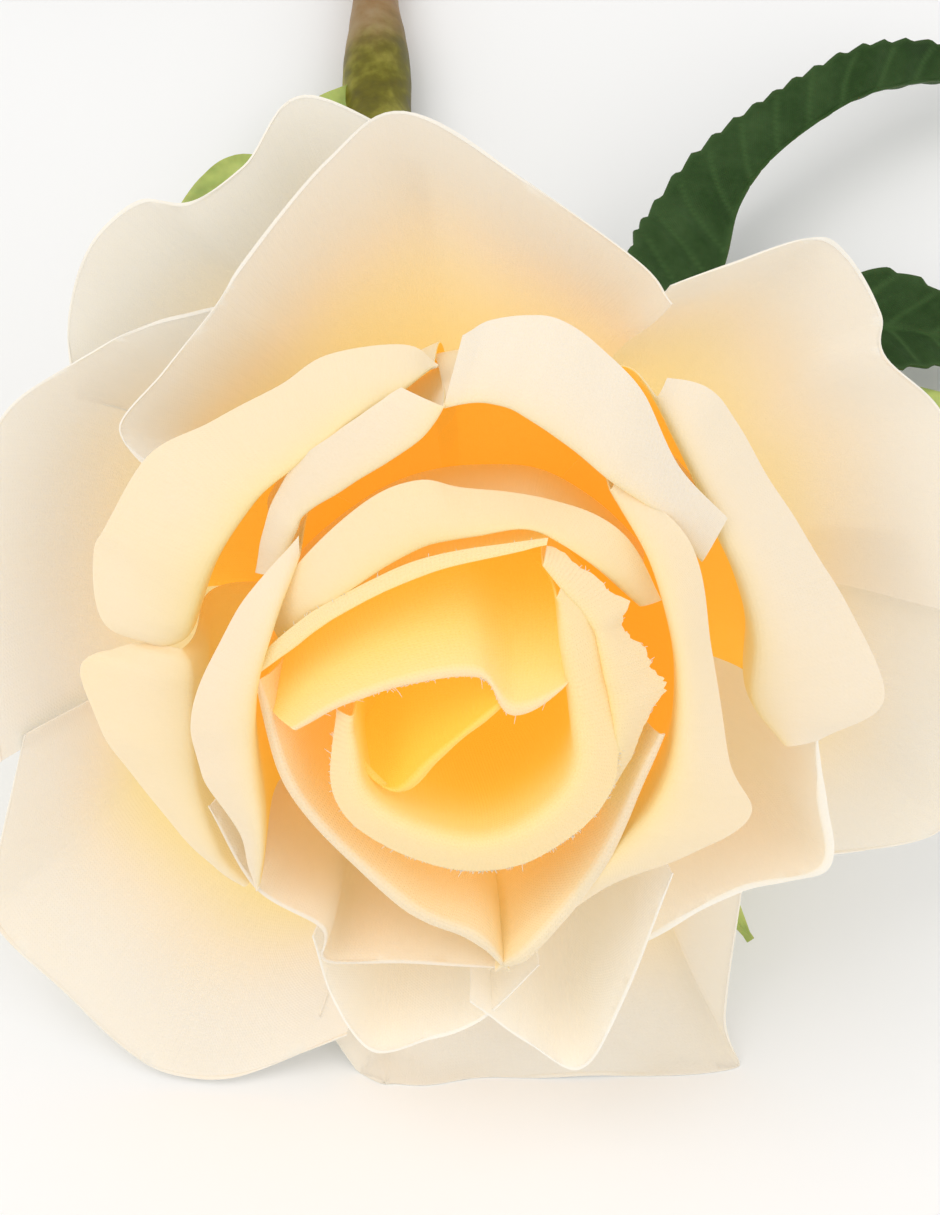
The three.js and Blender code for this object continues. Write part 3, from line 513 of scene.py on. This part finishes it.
def tubePiece(name, points, radii, material, sides=6, along=None):
    # a round rod along points in the row's frame, mm, as a bevelled curve made into a mesh
    rod = emptyCurve(name, sides)
    addThread(rod, points, radii)
    rod.data.use_fill_caps = True
    bpy.ops.object.convert(target="MESH")
    piece = bpy.context.object
    piece.data.materials.append(material)
    bpy.ops.object.shade_smooth()
    if along is not None:
        places = np.empty(len(piece.data.vertices) * 3)
        piece.data.vertices.foreach_get("co", places)
        places = places.reshape(-1, 3) / mm
        nearest = np.array([np.argmin(((points - place) ** 2).sum(axis=1)) for place in places])
        layer = piece.data.attributes.new("along", "FLOAT", "POINT")
        layer.data.foreach_set("value", np.asarray(along, np.float32)[nearest])
    return piece


def addThread(curveObject, points, radii):
    spline = curveObject.data.splines.new("POLY")
    spline.points.add(len(points) - 1)
    spline.points.foreach_set("co", np.hstack([points * mm, np.ones((len(points), 1))]).ravel())
    spline.points.foreach_set("radius", np.asarray(radii, float))


def ripple(across, along, seed, size):
    # soft waves that grow towards the cut edge
    chance = random.Random(seed)
    waves = np.zeros_like(across)
    for turns in petalLook["waves"]:
        phase = 2 * np.pi * (turns * across + chance.random()) + along * chance.uniform(-2, 2)
        waves += np.sin(phase) / turns
    start = petalLook["wavesFrom"]
    return size * waves * np.clip((along - start) / (1 - start), 0, 1) ** 1.5


def smooth(value, low, high):
    share = np.clip((value - low) / (high - low), 0, 1)
    return share * share * (3 - 2 * share)


petalLook = {
    "across": 84, "along": 48,
    "thickness": 0.18,  # mm
    "waves": (1.5, 2.6, 4.2, 7.1),  # per petal's width
    "wavesFrom": 0.25,
    "waveSize": {"petal_heart": 0.15, "petal_middle": 0.3, "petal_outer": 0.75},  # mm
    "warmFrom": 0.08,  # shares of the cloth's length
    "warmUpTo": {"petal_heart": 0.95, "petal_middle": 0.98, "petal_outer": 0.56},
    "outsideShare": {"petal_heart": 0.85, "petal_middle": 0.4, "petal_outer": 0.25},  # of the warm tone, dye and painted crevice shade
    "cloth": {"petal_heart": heartCloth, "petal_middle": middleCloth, "petal_outer": outerCloth},
    "lowPetals": ["thirdLowPetal", "thirdFrontPetal", "thirdCornerPetal"],  # in a cloth with a stronger painted glow, which lifts their shade
    "tear": {"firstRightPetal": 0.05, "heartCupPetal": 0.012, "heartHoodPetal": 0.012},
    "nicks": [(22, 0.7), (120, 0.3)],  # how many along the edge, and their share of its depth
    "tearFrom": 0.8,
    "frays": {"heartCupPetal": 260, "heartHoodPetal": 150, "firstTopPetal": 24, "firstRightPetal": 24},
}


def paleOutside(piece, share):
    # the warm tone, dye and painted crevice shade, hardly shows on the side that faces away from the
    # bloom's axis
    mesh = piece.data
    total = len(mesh.vertices)
    places, normals, warmthAndShade = np.empty(total * 3), np.empty(total * 3), np.empty(total, np.float32)
    mesh.vertices.foreach_get("co", places)
    mesh.vertices.foreach_get("normal", normals)
    fromAxis = (places.reshape(-1, 3) / mm - seatPoint) @ bloomAxes.T
    fromAxis /= np.linalg.norm(fromAxis[:, :2], axis=1, keepdims=True) + 1e-9
    facing = normals.reshape(-1, 3) @ bloomAxes.T
    away = (facing[:, :2] * fromAxis[:, :2]).sum(axis=1) - facing[:, 2]
    half = total // 2
    outside = slice(0, half) if away[:half].mean() > away[half:].mean() else slice(half, total)
    layer = mesh.attributes["warmthAndShade"]
    layer.data.foreach_get("value", warmthAndShade)
    warmthAndShade[outside] *= share
    layer.data.foreach_set("value", warmthAndShade)


def tornEdge(petal, notches, across, along):
    # the cut edge runs a little unevenly
    places = np.arange(len(notches))
    nick = sum(np.interp(across * count, places, notches) * share for count, share in petalLook["nicks"])
    depth = petalLook["tear"].get(petal["name"], 0)
    return along * (1 - depth * nick * smooth(along, petalLook["tearFrom"], 1))


fray = {
    "reach": (0.12, 0.42),  # mm
    "longShare": 0.06,      # this share of them is longer
    "longTimes": 2.2,
    "inside": 0.3,          # of its length lies within the cloth
    "between": (0.03, 0.97),  # shares of the edge's length
    "backTo": 0.97,         # share of the cloth's length; from there to the edge is its direction
    "spread": 0.55,
    "curl": 0.7,
    "radii": [0.05, 0.05, 0.045, 0.04, 0.025],
}


def looseThreads(petal, surface, count, chance):
    # short threads that stand out of the cut edge
    frays = emptyCurve(petal["name"].replace("Petal", "Frays"), 0)
    shares = np.linspace(-fray["inside"], 1, len(fray["radii"]))[:, None]
    for _ in range(count):
        across = np.array([chance.uniform(*fray["between"])])
        root = toRow(surface(across, np.array([1.0])))[0]
        inner = toRow(surface(across, np.array([fray["backTo"]])))[0]
        ahead = (root - inner) / (np.linalg.norm(root - inner) + 1e-9)
        loose = np.array([chance.gauss(0, fray["spread"]) for _ in range(3)])
        reach = chance.uniform(*fray["reach"])
        if chance.random() < fray["longShare"]:
            reach *= fray["longTimes"]
        line = root + (ahead * shares + loose * np.maximum(shares, 0) ** 2 * fray["curl"]) * reach
        addThread(frays, line, fray["radii"])
    bpy.ops.object.convert(target="MESH")
    return bpy.context.object


def petalPiece(petal, order):
    look = petalLook
    slotName = petal["slot"]
    chance = random.Random(order + 11)
    notches = np.array([chance.random() for _ in range(400)])

    def surface(across, along):
        along = tornEdge(petal, notches, across, along)
        return petalPoints(petal, order, np.clip(across, 0, 1), np.clip(along, 0, 1))

    def placeAll(across, along):
        points = surface(across, along)
        step = 0.004
        sideways = surface(across + step, along) - surface(across - step, along)
        outwards = surface(across, along + step) - surface(across, along - step)
        normal = np.cross(sideways, outwards)
        normal /= np.linalg.norm(normal, axis=1, keepdims=True) + 1e-9
        points = points + normal * ripple(across, along, order * 7 + 3, look["waveSize"][slotName])[:, None]
        row = toRow(points)
        row[:, 2] = np.maximum(row[:, 2], look["thickness"] / 2 + bloom["floorGap"])
        grid = np.linspace(0, 1, 60)
        length = pathLengths(petalPoints(petal, order, np.full(60, 0.5), grid))
        width = pathLengths(petalPoints(petal, order, grid, np.full(60, bloom["wallShare"])))[-1]
        cut = np.stack([(across - 0.5) * width, np.interp(along, grid, length)], -1)
        deep, pale = petal["warm"]
        inward = 1 - smooth(along, look["warmFrom"], look["warmUpTo"][slotName])
        return row, {"warmthAndShade": pale + (deep - pale) * inward, "cut": cut}

    cloth = lowCloth if petal["name"] in look["lowPetals"] else look["cloth"][slotName]
    piece, flat, area = clothPiece(
        petal["name"], look["across"], look["along"], placeAll, cloth, look["thickness"])
    if petal["ring"] != "heart":
        paleOutside(piece, look["outsideShare"][slotName])
    fringe = []
    if petal["name"] in look["frays"]:
        fringe = [looseThreads(petal, surface, look["frays"][petal["name"]], chance)]
        fringe[0].data.materials.append(cloth)
    for made in [piece] + fringe:
        standIn(made, petal["node"])


for order, petal in enumerate(petals):
    petalPiece(petal, order)
print("petals made:", len(petals))


# Green parts
greens = {
    "leafDeep": paint(18, 42, 5), "leafMid": paint(29, 58, 9), "leafPale": paint(60, 86, 44),
    "vein": paint(66, 96, 48),
    "sepalLow": paint(120, 140, 66), "sepalHigh": paint(176, 190, 104), "sepalTip": paint(206, 208, 150),
    "neckDeep": paint(72, 64, 8), "neckMid": paint(102, 96, 16), "neckPale": paint(148, 143, 54),
    "barkDeep": paint(108, 82, 52), "barkMid": paint(144, 112, 72), "barkPale": paint(158, 138, 106),
}


# patch, speckle and so on: scale and detail of a noise. roughness: least, and what the noise adds.
# bump: strength, and height in mm.
leafFinish = {
    "patch": (60, 5), "speckle": (900, 2), "speckleShare": 0.15,
    "veinShare": 0.45, "rimShare": 0.6,
    "roughness": (0.42, 0.25),
    "threadPitch": 0.3, "crossings": 0.5,
    "bump": (0.5, 0.06),
    "stops": [(0.3, greens["leafDeep"]), (0.52, greens["leafMid"]), (0.8, greens["leafPale"])],
}
sepalFinish = {
    "patch": (110, 4), "streak": (700, 3), "streakShare": 0.2,
    "roughness": (0.42, 0.2),
    "bump": (0.4, 0.1),
    "stops": [(0.3, greens["sepalLow"]), (0.55, greens["sepalHigh"]), (0.8, greens["sepalTip"])],
}
barkFinish = {
    "patch": (85, 4), "grain": (650, 4), "grainShare": 0.3,
    "neckWanders": 26, "neckFades": (-9, 3),  # mm along the stem
    "roughness": (0.34, 0.3),
    "grainHeight": 0.6,
    "bump": (0.45, 0.25),
    "neckStops": [(0.32, greens["neckDeep"]), (0.5, greens["neckMid"]), (0.66, greens["neckPale"]),
                  (0.8, greens["barkMid"])],
    "barkStops": [(0.3, greens["barkDeep"]), (0.5, greens["barkMid"]), (0.72, greens["barkPale"])],
}
wireFinish = {
    "scratch": (1400, 3),
    "roughness": (0.25, 0.3),
    "bump": (0.2, 0.05),
    "stops": [(0.3, paint(120, 120, 118)), (0.7, paint(180, 180, 178))],
}


def leafMaterial():
    look = leafFinish
    # the emission of its own colour is painted glow that lifts the shade
    finish = Finish("leafCloth", Specular_IOR_Level=0.22, Sheen_Weight=0.02, Subsurface_Weight=0.08,
                    Subsurface_Scale=0.001, Emission_Strength=0.1)
    patch = finish.noise(*look["patch"])
    speckle = finish.noise(*look["speckle"])
    base = finish.ramp(patch + (speckle - 0.5) * look["speckleShare"], look["stops"])
    vein = finish.attribute("vein")
    rim = finish.attribute("rim")
    veined = finish.blend(vein * look["veinShare"], base, (*greens["vein"], 1))
    colour = finish.blend(rim * look["rimShare"], veined, (*greens["leafPale"], 1))
    finish.feed("Base Color", colour)
    finish.feed("Emission Color", colour)
    finish.rough(patch, *look["roughness"])
    warp, weft = finish.threads(finish.flat("cut"), look["threadPitch"])
    finish.feed("Normal", finish.bump(warp * weft * look["crossings"] + speckle, *look["bump"]))
    return finish.material


def sepalMaterial():
    look = sepalFinish
    # the emission of its own colour is painted glow that lifts the shade
    finish = Finish("sepalPlastic", Specular_IOR_Level=0.4, Subsurface_Weight=0.2, Subsurface_Scale=0.001,
                    Emission_Strength=0.12)
    patch = finish.noise(*look["patch"])
    streak = finish.noise(*look["streak"])
    colour = finish.ramp(patch + (streak - 0.5) * look["streakShare"], look["stops"])
    finish.feed("Base Color", colour)
    finish.feed("Emission Color", colour)
    finish.rough(streak, *look["roughness"])
    finish.feed("Normal", finish.bump(streak + patch, *look["bump"]))
    return finish.material


def barkMaterial(neckEnd):
    look = barkFinish
    # the emission of its own colour is painted glow that lifts the shade
    finish = Finish("stemBark", Specular_IOR_Level=0.28, Subsurface_Weight=0.08, Subsurface_Scale=0.001,
                    Emission_Strength=0.06)
    along = finish.attribute("along")
    patch = finish.noise(*look["patch"])
    grain = finish.noise(*look["grain"])
    tone = patch + (grain - 0.5) * look["grainShare"]
    neck = finish.ramp(tone, look["neckStops"])
    bark = finish.ramp(tone, look["barkStops"])
    low, high = [neckEnd + past for past in look["neckFades"]]
    share = (along + (patch - 0.5) * look["neckWanders"]).within(low, high)
    colour = finish.blend(share, neck, bark)
    finish.feed("Base Color", colour)
    finish.feed("Emission Color", colour)
    finish.rough(grain, *look["roughness"])
    finish.feed("Normal", finish.bump(grain * look["grainHeight"] + patch, *look["bump"]))
    return finish.material


def wireMaterial():
    look = wireFinish
    finish = Finish("drawnWire", Metallic=1.0)
    scratch = finish.noise(*look["scratch"])
    finish.rough(scratch, *look["roughness"])
    finish.feed("Base Color", finish.ramp(scratch, look["stops"]))
    finish.feed("Normal", finish.bump(scratch, *look["bump"]))
    return finish.material


stemLook = {
    "neckRadius": 4, "neckLength": 110, "neckTaper": 7,
    "radius": 2.7, "reach": 255,
    "knots": [60, 90, 140, 190], "knotSwell": 0.5, "knotLength": 5,
    "uneven": 0.07, "unevenStep": 5.3, "unevenPlaces": 60,
    "lumpSize": 6, "lumpHeight": 0.4, "lumpMiddle": 0.55,
    "axisStart": [-12.5, -19, -33],  # heights along the bloom's axis
    "path": [[-4, 48, 12], [-8, 68, 6.3], [-10.8, 92, 4.4], [-11.6, 140, 3.5], [-11, 200, 3.5]],
    "endSide": -6, "endHeight": 3.5,
    "steps": 420,
}
wireLook = {"radius": 1, "shows": 2.5, "steps": 160}
calyxLook = {
    "heights": [-19, -18.6, -17, -13, -10, -7, -6.3],
    "radii": [4.3, 4.9, 5.3, 6.3, 7, 7, 6.4],
    "steps": 40,
}
leafCloth = leafMaterial()
sepalPlastic = sepalMaterial()
stemBark = barkMaterial(stemLook["neckLength"])
drawnWire = wireMaterial()
print("green finishes made")


def stemPoints(end, count):
    # from inside the calyx, down the bloom's axis and along the table
    look = stemLook
    axis = toRow([[0, 0, height] for height in look["axisStart"]])
    lying = fromSeat(look["path"] + [[look["endSide"], end, look["endHeight"]]])
    points = thread(np.vstack([axis, lying]), np.linspace(0, 1, count))
    return points, pathLengths(points)


def buildStem():
    look = stemLook
    points, distance = stemPoints(look["reach"], look["steps"])
    neckEnd = look["neckLength"]
    radii = look["neckRadius"] + (look["radius"] - look["neckRadius"]) * smooth(
        distance, neckEnd - look["neckTaper"], neckEnd + look["neckTaper"])
    for knot in look["knots"]:
        radii = radii + look["knotSwell"] * np.exp(-((distance - knot) / look["knotLength"]) ** 2)
    chance = random.Random(5)
    places = np.arange(look["unevenPlaces"])
    uneven = np.array([chance.gauss(0, 1) for _ in places])
    radii = radii + np.interp(distance / look["unevenStep"], places, uneven) * look["uneven"]
    piece = tubePiece("stemRod", points, radii, stemBark, sides=7, along=distance)
    bpy.ops.object.select_all(action="DESELECT")
    piece.select_set(True)
    bpy.context.view_layer.objects.active = piece
    lumps = bpy.data.textures.new("stemLumps", "CLOUDS")
    lumps.noise_scale = look["lumpSize"] * mm
    bumps = piece.modifiers.new("lumps", "DISPLACE")
    bumps.texture = lumps
    bumps.strength = look["lumpHeight"] * mm
    bumps.mid_level = look["lumpMiddle"]
    bumps.texture_coords = "LOCAL"
    bpy.ops.object.modifier_apply(modifier="lumps")
    standIn(piece, "stem")


def buildWire():
    count = wireLook["steps"]
    points, _ = stemPoints(stemLook["reach"] + wireLook["shows"], count)
    wire = tubePiece("wireRod", points, np.full(count, wireLook["radius"]), drawnWire, sides=3)
    standIn(wire, "stem_wire")


def buildCalyx():
    look = calyxLook
    heights = np.linspace(look["heights"][-1], look["heights"][0], look["steps"])
    radii = np.interp(heights, look["heights"], look["radii"])
    middle = toRow([[0, 0, height] for height in heights])
    calyx = tubePiece("calyxCup", middle, radii, sepalPlastic, sides=10)
    standIn(calyx, "calyx")


buildStem()
buildWire()
buildCalyx()
core = bpy.data.objects["flower_core"]
core.data.materials.clear()
core.data.materials.append(sepalPlastic)
print("stem, wire and calyx made")


bladeShape = {
    "step": 0.003,          # share of the path over which its direction is taken
    "narrowest": 0.08,      # share of the width, at either end
    "early": 0.8,           # below 1 the widest place is nearer the base
    "full": 0.8,            # below 1 the sides are fuller
    "teethFrom": 0.75,      # share of the half width
    "teethGrow": (1, 4),    # mm of half width, from no teeth to whole teeth
    "grooveDepth": 1.2, "grooveWidth": 0.6,  # over the midrib, in puffs and in mm
    "waveStep": 6.5, "waveLean": 1.3,
    "rimFrom": 0.9,
}


def teeth(gone, look):
    # -0.5 to 0.5 along the cut edge: each tooth rises slowly and falls steeply
    phase = gone / look["tooth"] % 1
    rise = look["toothRise"]
    return np.where(phase < rise, phase / rise, (1 - phase) / (1 - rise)) - 0.5


def bladePiece(name, node, path, width, halves, look, material, taper=None):
    # a leaf or sepal along a curve of the row's frame, mm; halves are the degrees that its two sides rise
    shape = bladeShape
    step = shape["step"]
    path = np.asarray(path, float)
    grid = np.linspace(0, 1, 200)
    distance = pathLengths(thread(path, grid))

    def placeAll(across, along):
        centre = thread(path, along)
        ahead = thread(path, np.clip(along + step, 0, 1)) - thread(path, np.clip(along - step, 0, 1))
        ahead /= np.linalg.norm(ahead, axis=1, keepdims=True)
        side = np.cross(ahead, [0, 0, 1.0])
        side /= np.linalg.norm(side, axis=1, keepdims=True)
        over = np.cross(side, ahead)
        reach = 2 * across - 1
        outer = np.abs(reach)
        hand = np.sign(reach)[:, None]
        slope = np.radians(np.where(reach < 0, halves[0], halves[1]))[:, None]
        gone = np.interp(along, grid, distance)
        if taper is None:
            share = np.maximum(shape["narrowest"], np.sin(np.pi * along ** shape["early"]) ** shape["full"])
        else:
            share = thread(np.array(taper)[:, None], along)[:, 0]
        half = width / 2 * share
        tooth = look["toothHeight"] * teeth(gone, look)
        toothed = tooth * smooth(outer, shape["teethFrom"], 1) * smooth(half, *shape["teethGrow"])
        breadth = outer * half + toothed
        veinsPassed = (gone - breadth * look["veinSlant"]) / look["veinStep"]
        toVein = np.minimum(veinsPassed % 1, 1 - veinsPassed % 1) * look["veinStep"]
        midrib = np.exp(-(breadth / look["midribWidth"]) ** 2)
        vein = np.exp(-(toVein / look["veinWidth"]) ** 2) * smooth(outer, 1, 0.8) + midrib
        puff = np.cos(2 * np.pi * veinsPassed + np.pi) * np.sin(np.pi * np.clip(outer, 0, 1))
        puff = look["puff"] * (puff - shape["grooveDepth"] * np.exp(-(breadth / shape["grooveWidth"]) ** 2))
        wave = look["wave"] * np.sin(gone / shape["waveStep"] + reach * shape["waveLean"]) * outer ** 2
        tilt = hand * side * np.cos(slope) + over * np.sin(slope)
        flatUp = -hand * side * np.sin(slope) + over * np.cos(slope)
        row = centre + tilt * breadth[:, None] + flatUp * (puff + wave)[:, None]
        row[:, 2] = np.maximum(row[:, 2], look["thickness"] / 2 + bloom["floorGap"])
        return row, {"vein": np.clip(vein, 0, 1), "rim": smooth(outer, shape["rimFrom"], 1),
                     "cut": np.stack([np.sign(reach) * breadth, gone], -1)}

    piece, flat, area = clothPiece(
        name, look["across"], look["along"], placeAll, material, look["thickness"])
    standIn(piece, node)
    return piece, flat, area


leafLook = {
    "across": 36, "along": 170, "thickness": 0.4,
    "tooth": 2.8, "toothHeight": 0.6, "toothRise": 0.78,
    "veinStep": 5.2, "veinSlant": 0.9, "veinWidth": 0.4, "midribWidth": 0.55,
    "puff": 0.28, "wave": 0.35,
}
sepalLook = {
    "across": 16, "along": 60, "thickness": 0.5,
    "tooth": 9, "toothHeight": 0.3, "toothRise": 0.78,
    "veinStep": 40, "veinSlant": 0.9, "veinWidth": 0.4, "midribWidth": 0.55,
    "puff": 0.15, "wave": 0.3,
}
stalkLook = {"radius": 1.35, "thins": 0.35, "foot": 0.5, "footShare": 0.06, "steps": 90}
leaves = [
    {"name": "leaf_near",
     "stalk": [[-8, 68, 6], [12, 63, 7], [32, 57, 7], [51, 54, 6], [66, 50, 4], [78, 45, 2.5]],
     "blades": [
         {"name": "side", "width": 22, "halves": [15, -140],
          "taper": [0.25, 0.85, 1, 0.76, 0.6, 0.54, 0.56, 0.45, 0.05],
          "path": [[21, 47, 7], [26, 59, 9], [29.5, 70, 10], [31.5, 78, 11], [36, 84.8, 12],
                   [44.3, 92.3, 12], [50.7, 96, 11], [58.5, 99.3, 8], [70, 101, 3]]},
         {"name": "back", "width": 15, "halves": [10, 10], "taper": [0.4, 1, 0.6, 0.55, 0.4, 0.05],
          "path": [[38, 59.5, 8.5], [47, 62, 8.5], [56, 60.5, 8], [66, 58.5, 6], [78, 56, 4], [88, 55, 3]]},
         {"name": "tip", "width": 30, "halves": [12, 12],
          "path": [[79, 44.5, 2.5], [92, 38, 6], [110, 31, 7], [130, 27, 2]]}]},
    {"name": "leaf_far",
     "stalk": [[-12, 145, 5], [-26, 158, 8], [-40, 169, 6], [-54, 176, 3], [-62, 180, 2.5]],
     "blades": [
         {"name": "side", "width": 24, "halves": [12, 12],
          "path": [[-38, 168, 6], [-46, 156, 8], [-58, 144, 6], [-72, 136, 2]]},
         {"name": "back", "width": 24, "halves": [10, 10],
          "path": [[-36, 167, 7], [-34, 183, 9], [-38, 201, 7], [-46, 214, 2]]},
         {"name": "tip", "width": 28, "halves": [12, 12],
          "path": [[-63, 180.5, 2.5], [-76, 187, 6], [-92, 192, 6], [-110, 194, 2]]}]},
]
for leaf in leaves:
    share = np.linspace(0, 1, stalkLook["steps"])
    foot = stalkLook["foot"] * np.exp(-(share / stalkLook["footShare"]) ** 2)
    stalk = tubePiece(leaf["name"] + "Stalk", thread(fromSeat(leaf["stalk"]), share),
                      stalkLook["radius"] - stalkLook["thins"] * share + foot, sepalPlastic, sides=4)
    standIn(stalk, leaf["name"] + "_stalk")
    for blade in leaf["blades"]:
        node = leaf["name"] + "_" + blade["name"]
        piece, flat, area = bladePiece(
            node.replace("_", "") + "Blade", node, fromSeat(blade["path"]), blade["width"],
            blade["halves"], leafLook, leafCloth, blade.get("taper"))
print("leaves made")

# turn: direction in degrees. reach and tip: how far from the axis it ends, and at what height.
# curl: where the far end goes instead, in the bloom's frame.
sepals = {
    "sepal_right": {"turn": 2, "reach": 48, "tip": -1},
    "sepal_top": {"turn": 62, "reach": 34, "tip": -5},
    "sepal_left_top": {"turn": 124, "reach": 42, "tip": -4,
                       "curl": [[-18.5, 33, -11], [-22, 42, -9], [-26, 42.5, -6], [-31, 38, -5]]},
    "sepal_left": {"turn": 196, "reach": 44, "tip": -3},
    "sepal_low": {"turn": 306.5, "reach": 50.5, "tip": -1},
}
sepalShape = {
    "radius": 7.7, "height": -9,  # of its root
    "width": 8, "halves": [8, 8],
    "shares": (0.25, 0.7),        # of its reach, at the two places between root and tip
    "drop": 5, "sag": 6,          # mm
}


def sepalPath(sepal):
    # out of the calyx, down behind the petals and up to the tip
    shape = sepalShape
    turn = math.radians(sepal["turn"])
    reach = sepal["reach"]
    tip = sepal["tip"]
    near, far = shape["shares"]
    drop = shape["drop"]
    radius = [shape["radius"], shape["radius"] + near * reach, far * reach, reach]
    height = [shape["height"], shape["height"] - drop, (tip - shape["sag"]) / 2 - drop, tip]
    path = [[r * math.cos(turn), r * math.sin(turn), h] for r, h in zip(radius, height)]
    return toRow(path[:3] + sepal.get("curl", path[3:]))


def sepalPiece(node, path, width):
    bladePiece(node.replace("_", "") + "Blade", node, path, width, sepalShape["halves"],
               sepalLook, sepalPlastic)


for node, sepal in sepals.items():
    sepalPiece(node, sepalPath(sepal), sepalShape["width"])
stipule = {
    "width": 4.5,
    "path": [[-12, 102, 5], [-14.5, 99, 5.5], [-18.5, 95, 6], [-25.5, 86, 6], [-31.5, 80, 5], [-38, 73, 3]],
}
sepalPiece("stipule", fromSeat(stipule["path"]), stipule["width"])
print("sepals made")


# Table, sky and lamps, in metres
studio = {"tableSize": 6, "tableGrey": 0.93, "sky": 0.78}
bpy.ops.object.select_all(action="DESELECT")
bpy.ops.mesh.primitive_plane_add(size=studio["tableSize"], location=(0, 0, 0))
table = bpy.context.object
table.name = "table"
tableFinish = Finish("tableTop", Base_Color=(*[studio["tableGrey"]] * 3, 1), Roughness=0.9)
table.data.materials.append(tableFinish.material)

world = bpy.data.worlds.new("studio")
bpy.context.scene.world = world
world.use_nodes = True
sky = world.node_tree.nodes["Background"]
sky.inputs["Color"].default_value = (1, 1, 1, 1)
sky.inputs["Strength"].default_value = studio["sky"]
lamps = {
    "window": {"place": (-0.5, -0.3, 0.9), "size": 0.7, "power": 2.9, "colour": (1, 0.98, 0.95)},
    "fill": {"place": (0.6, -0.5, 0.7), "size": 0.8, "power": 1.6, "colour": (1, 0.98, 0.96)},
}
for name, lamp in lamps.items():
    bpy.ops.object.light_add(type="AREA", location=lamp["place"])
    made = bpy.context.object
    made.name = name
    made.data.size = lamp["size"]
    made.data.energy = lamp["power"]
    made.data.color = lamp["colour"]
    made.rotation_euler = (-Vector(lamp["place"])).to_track_quat("-Z", "Y").to_euler()
print("table and lamps placed")
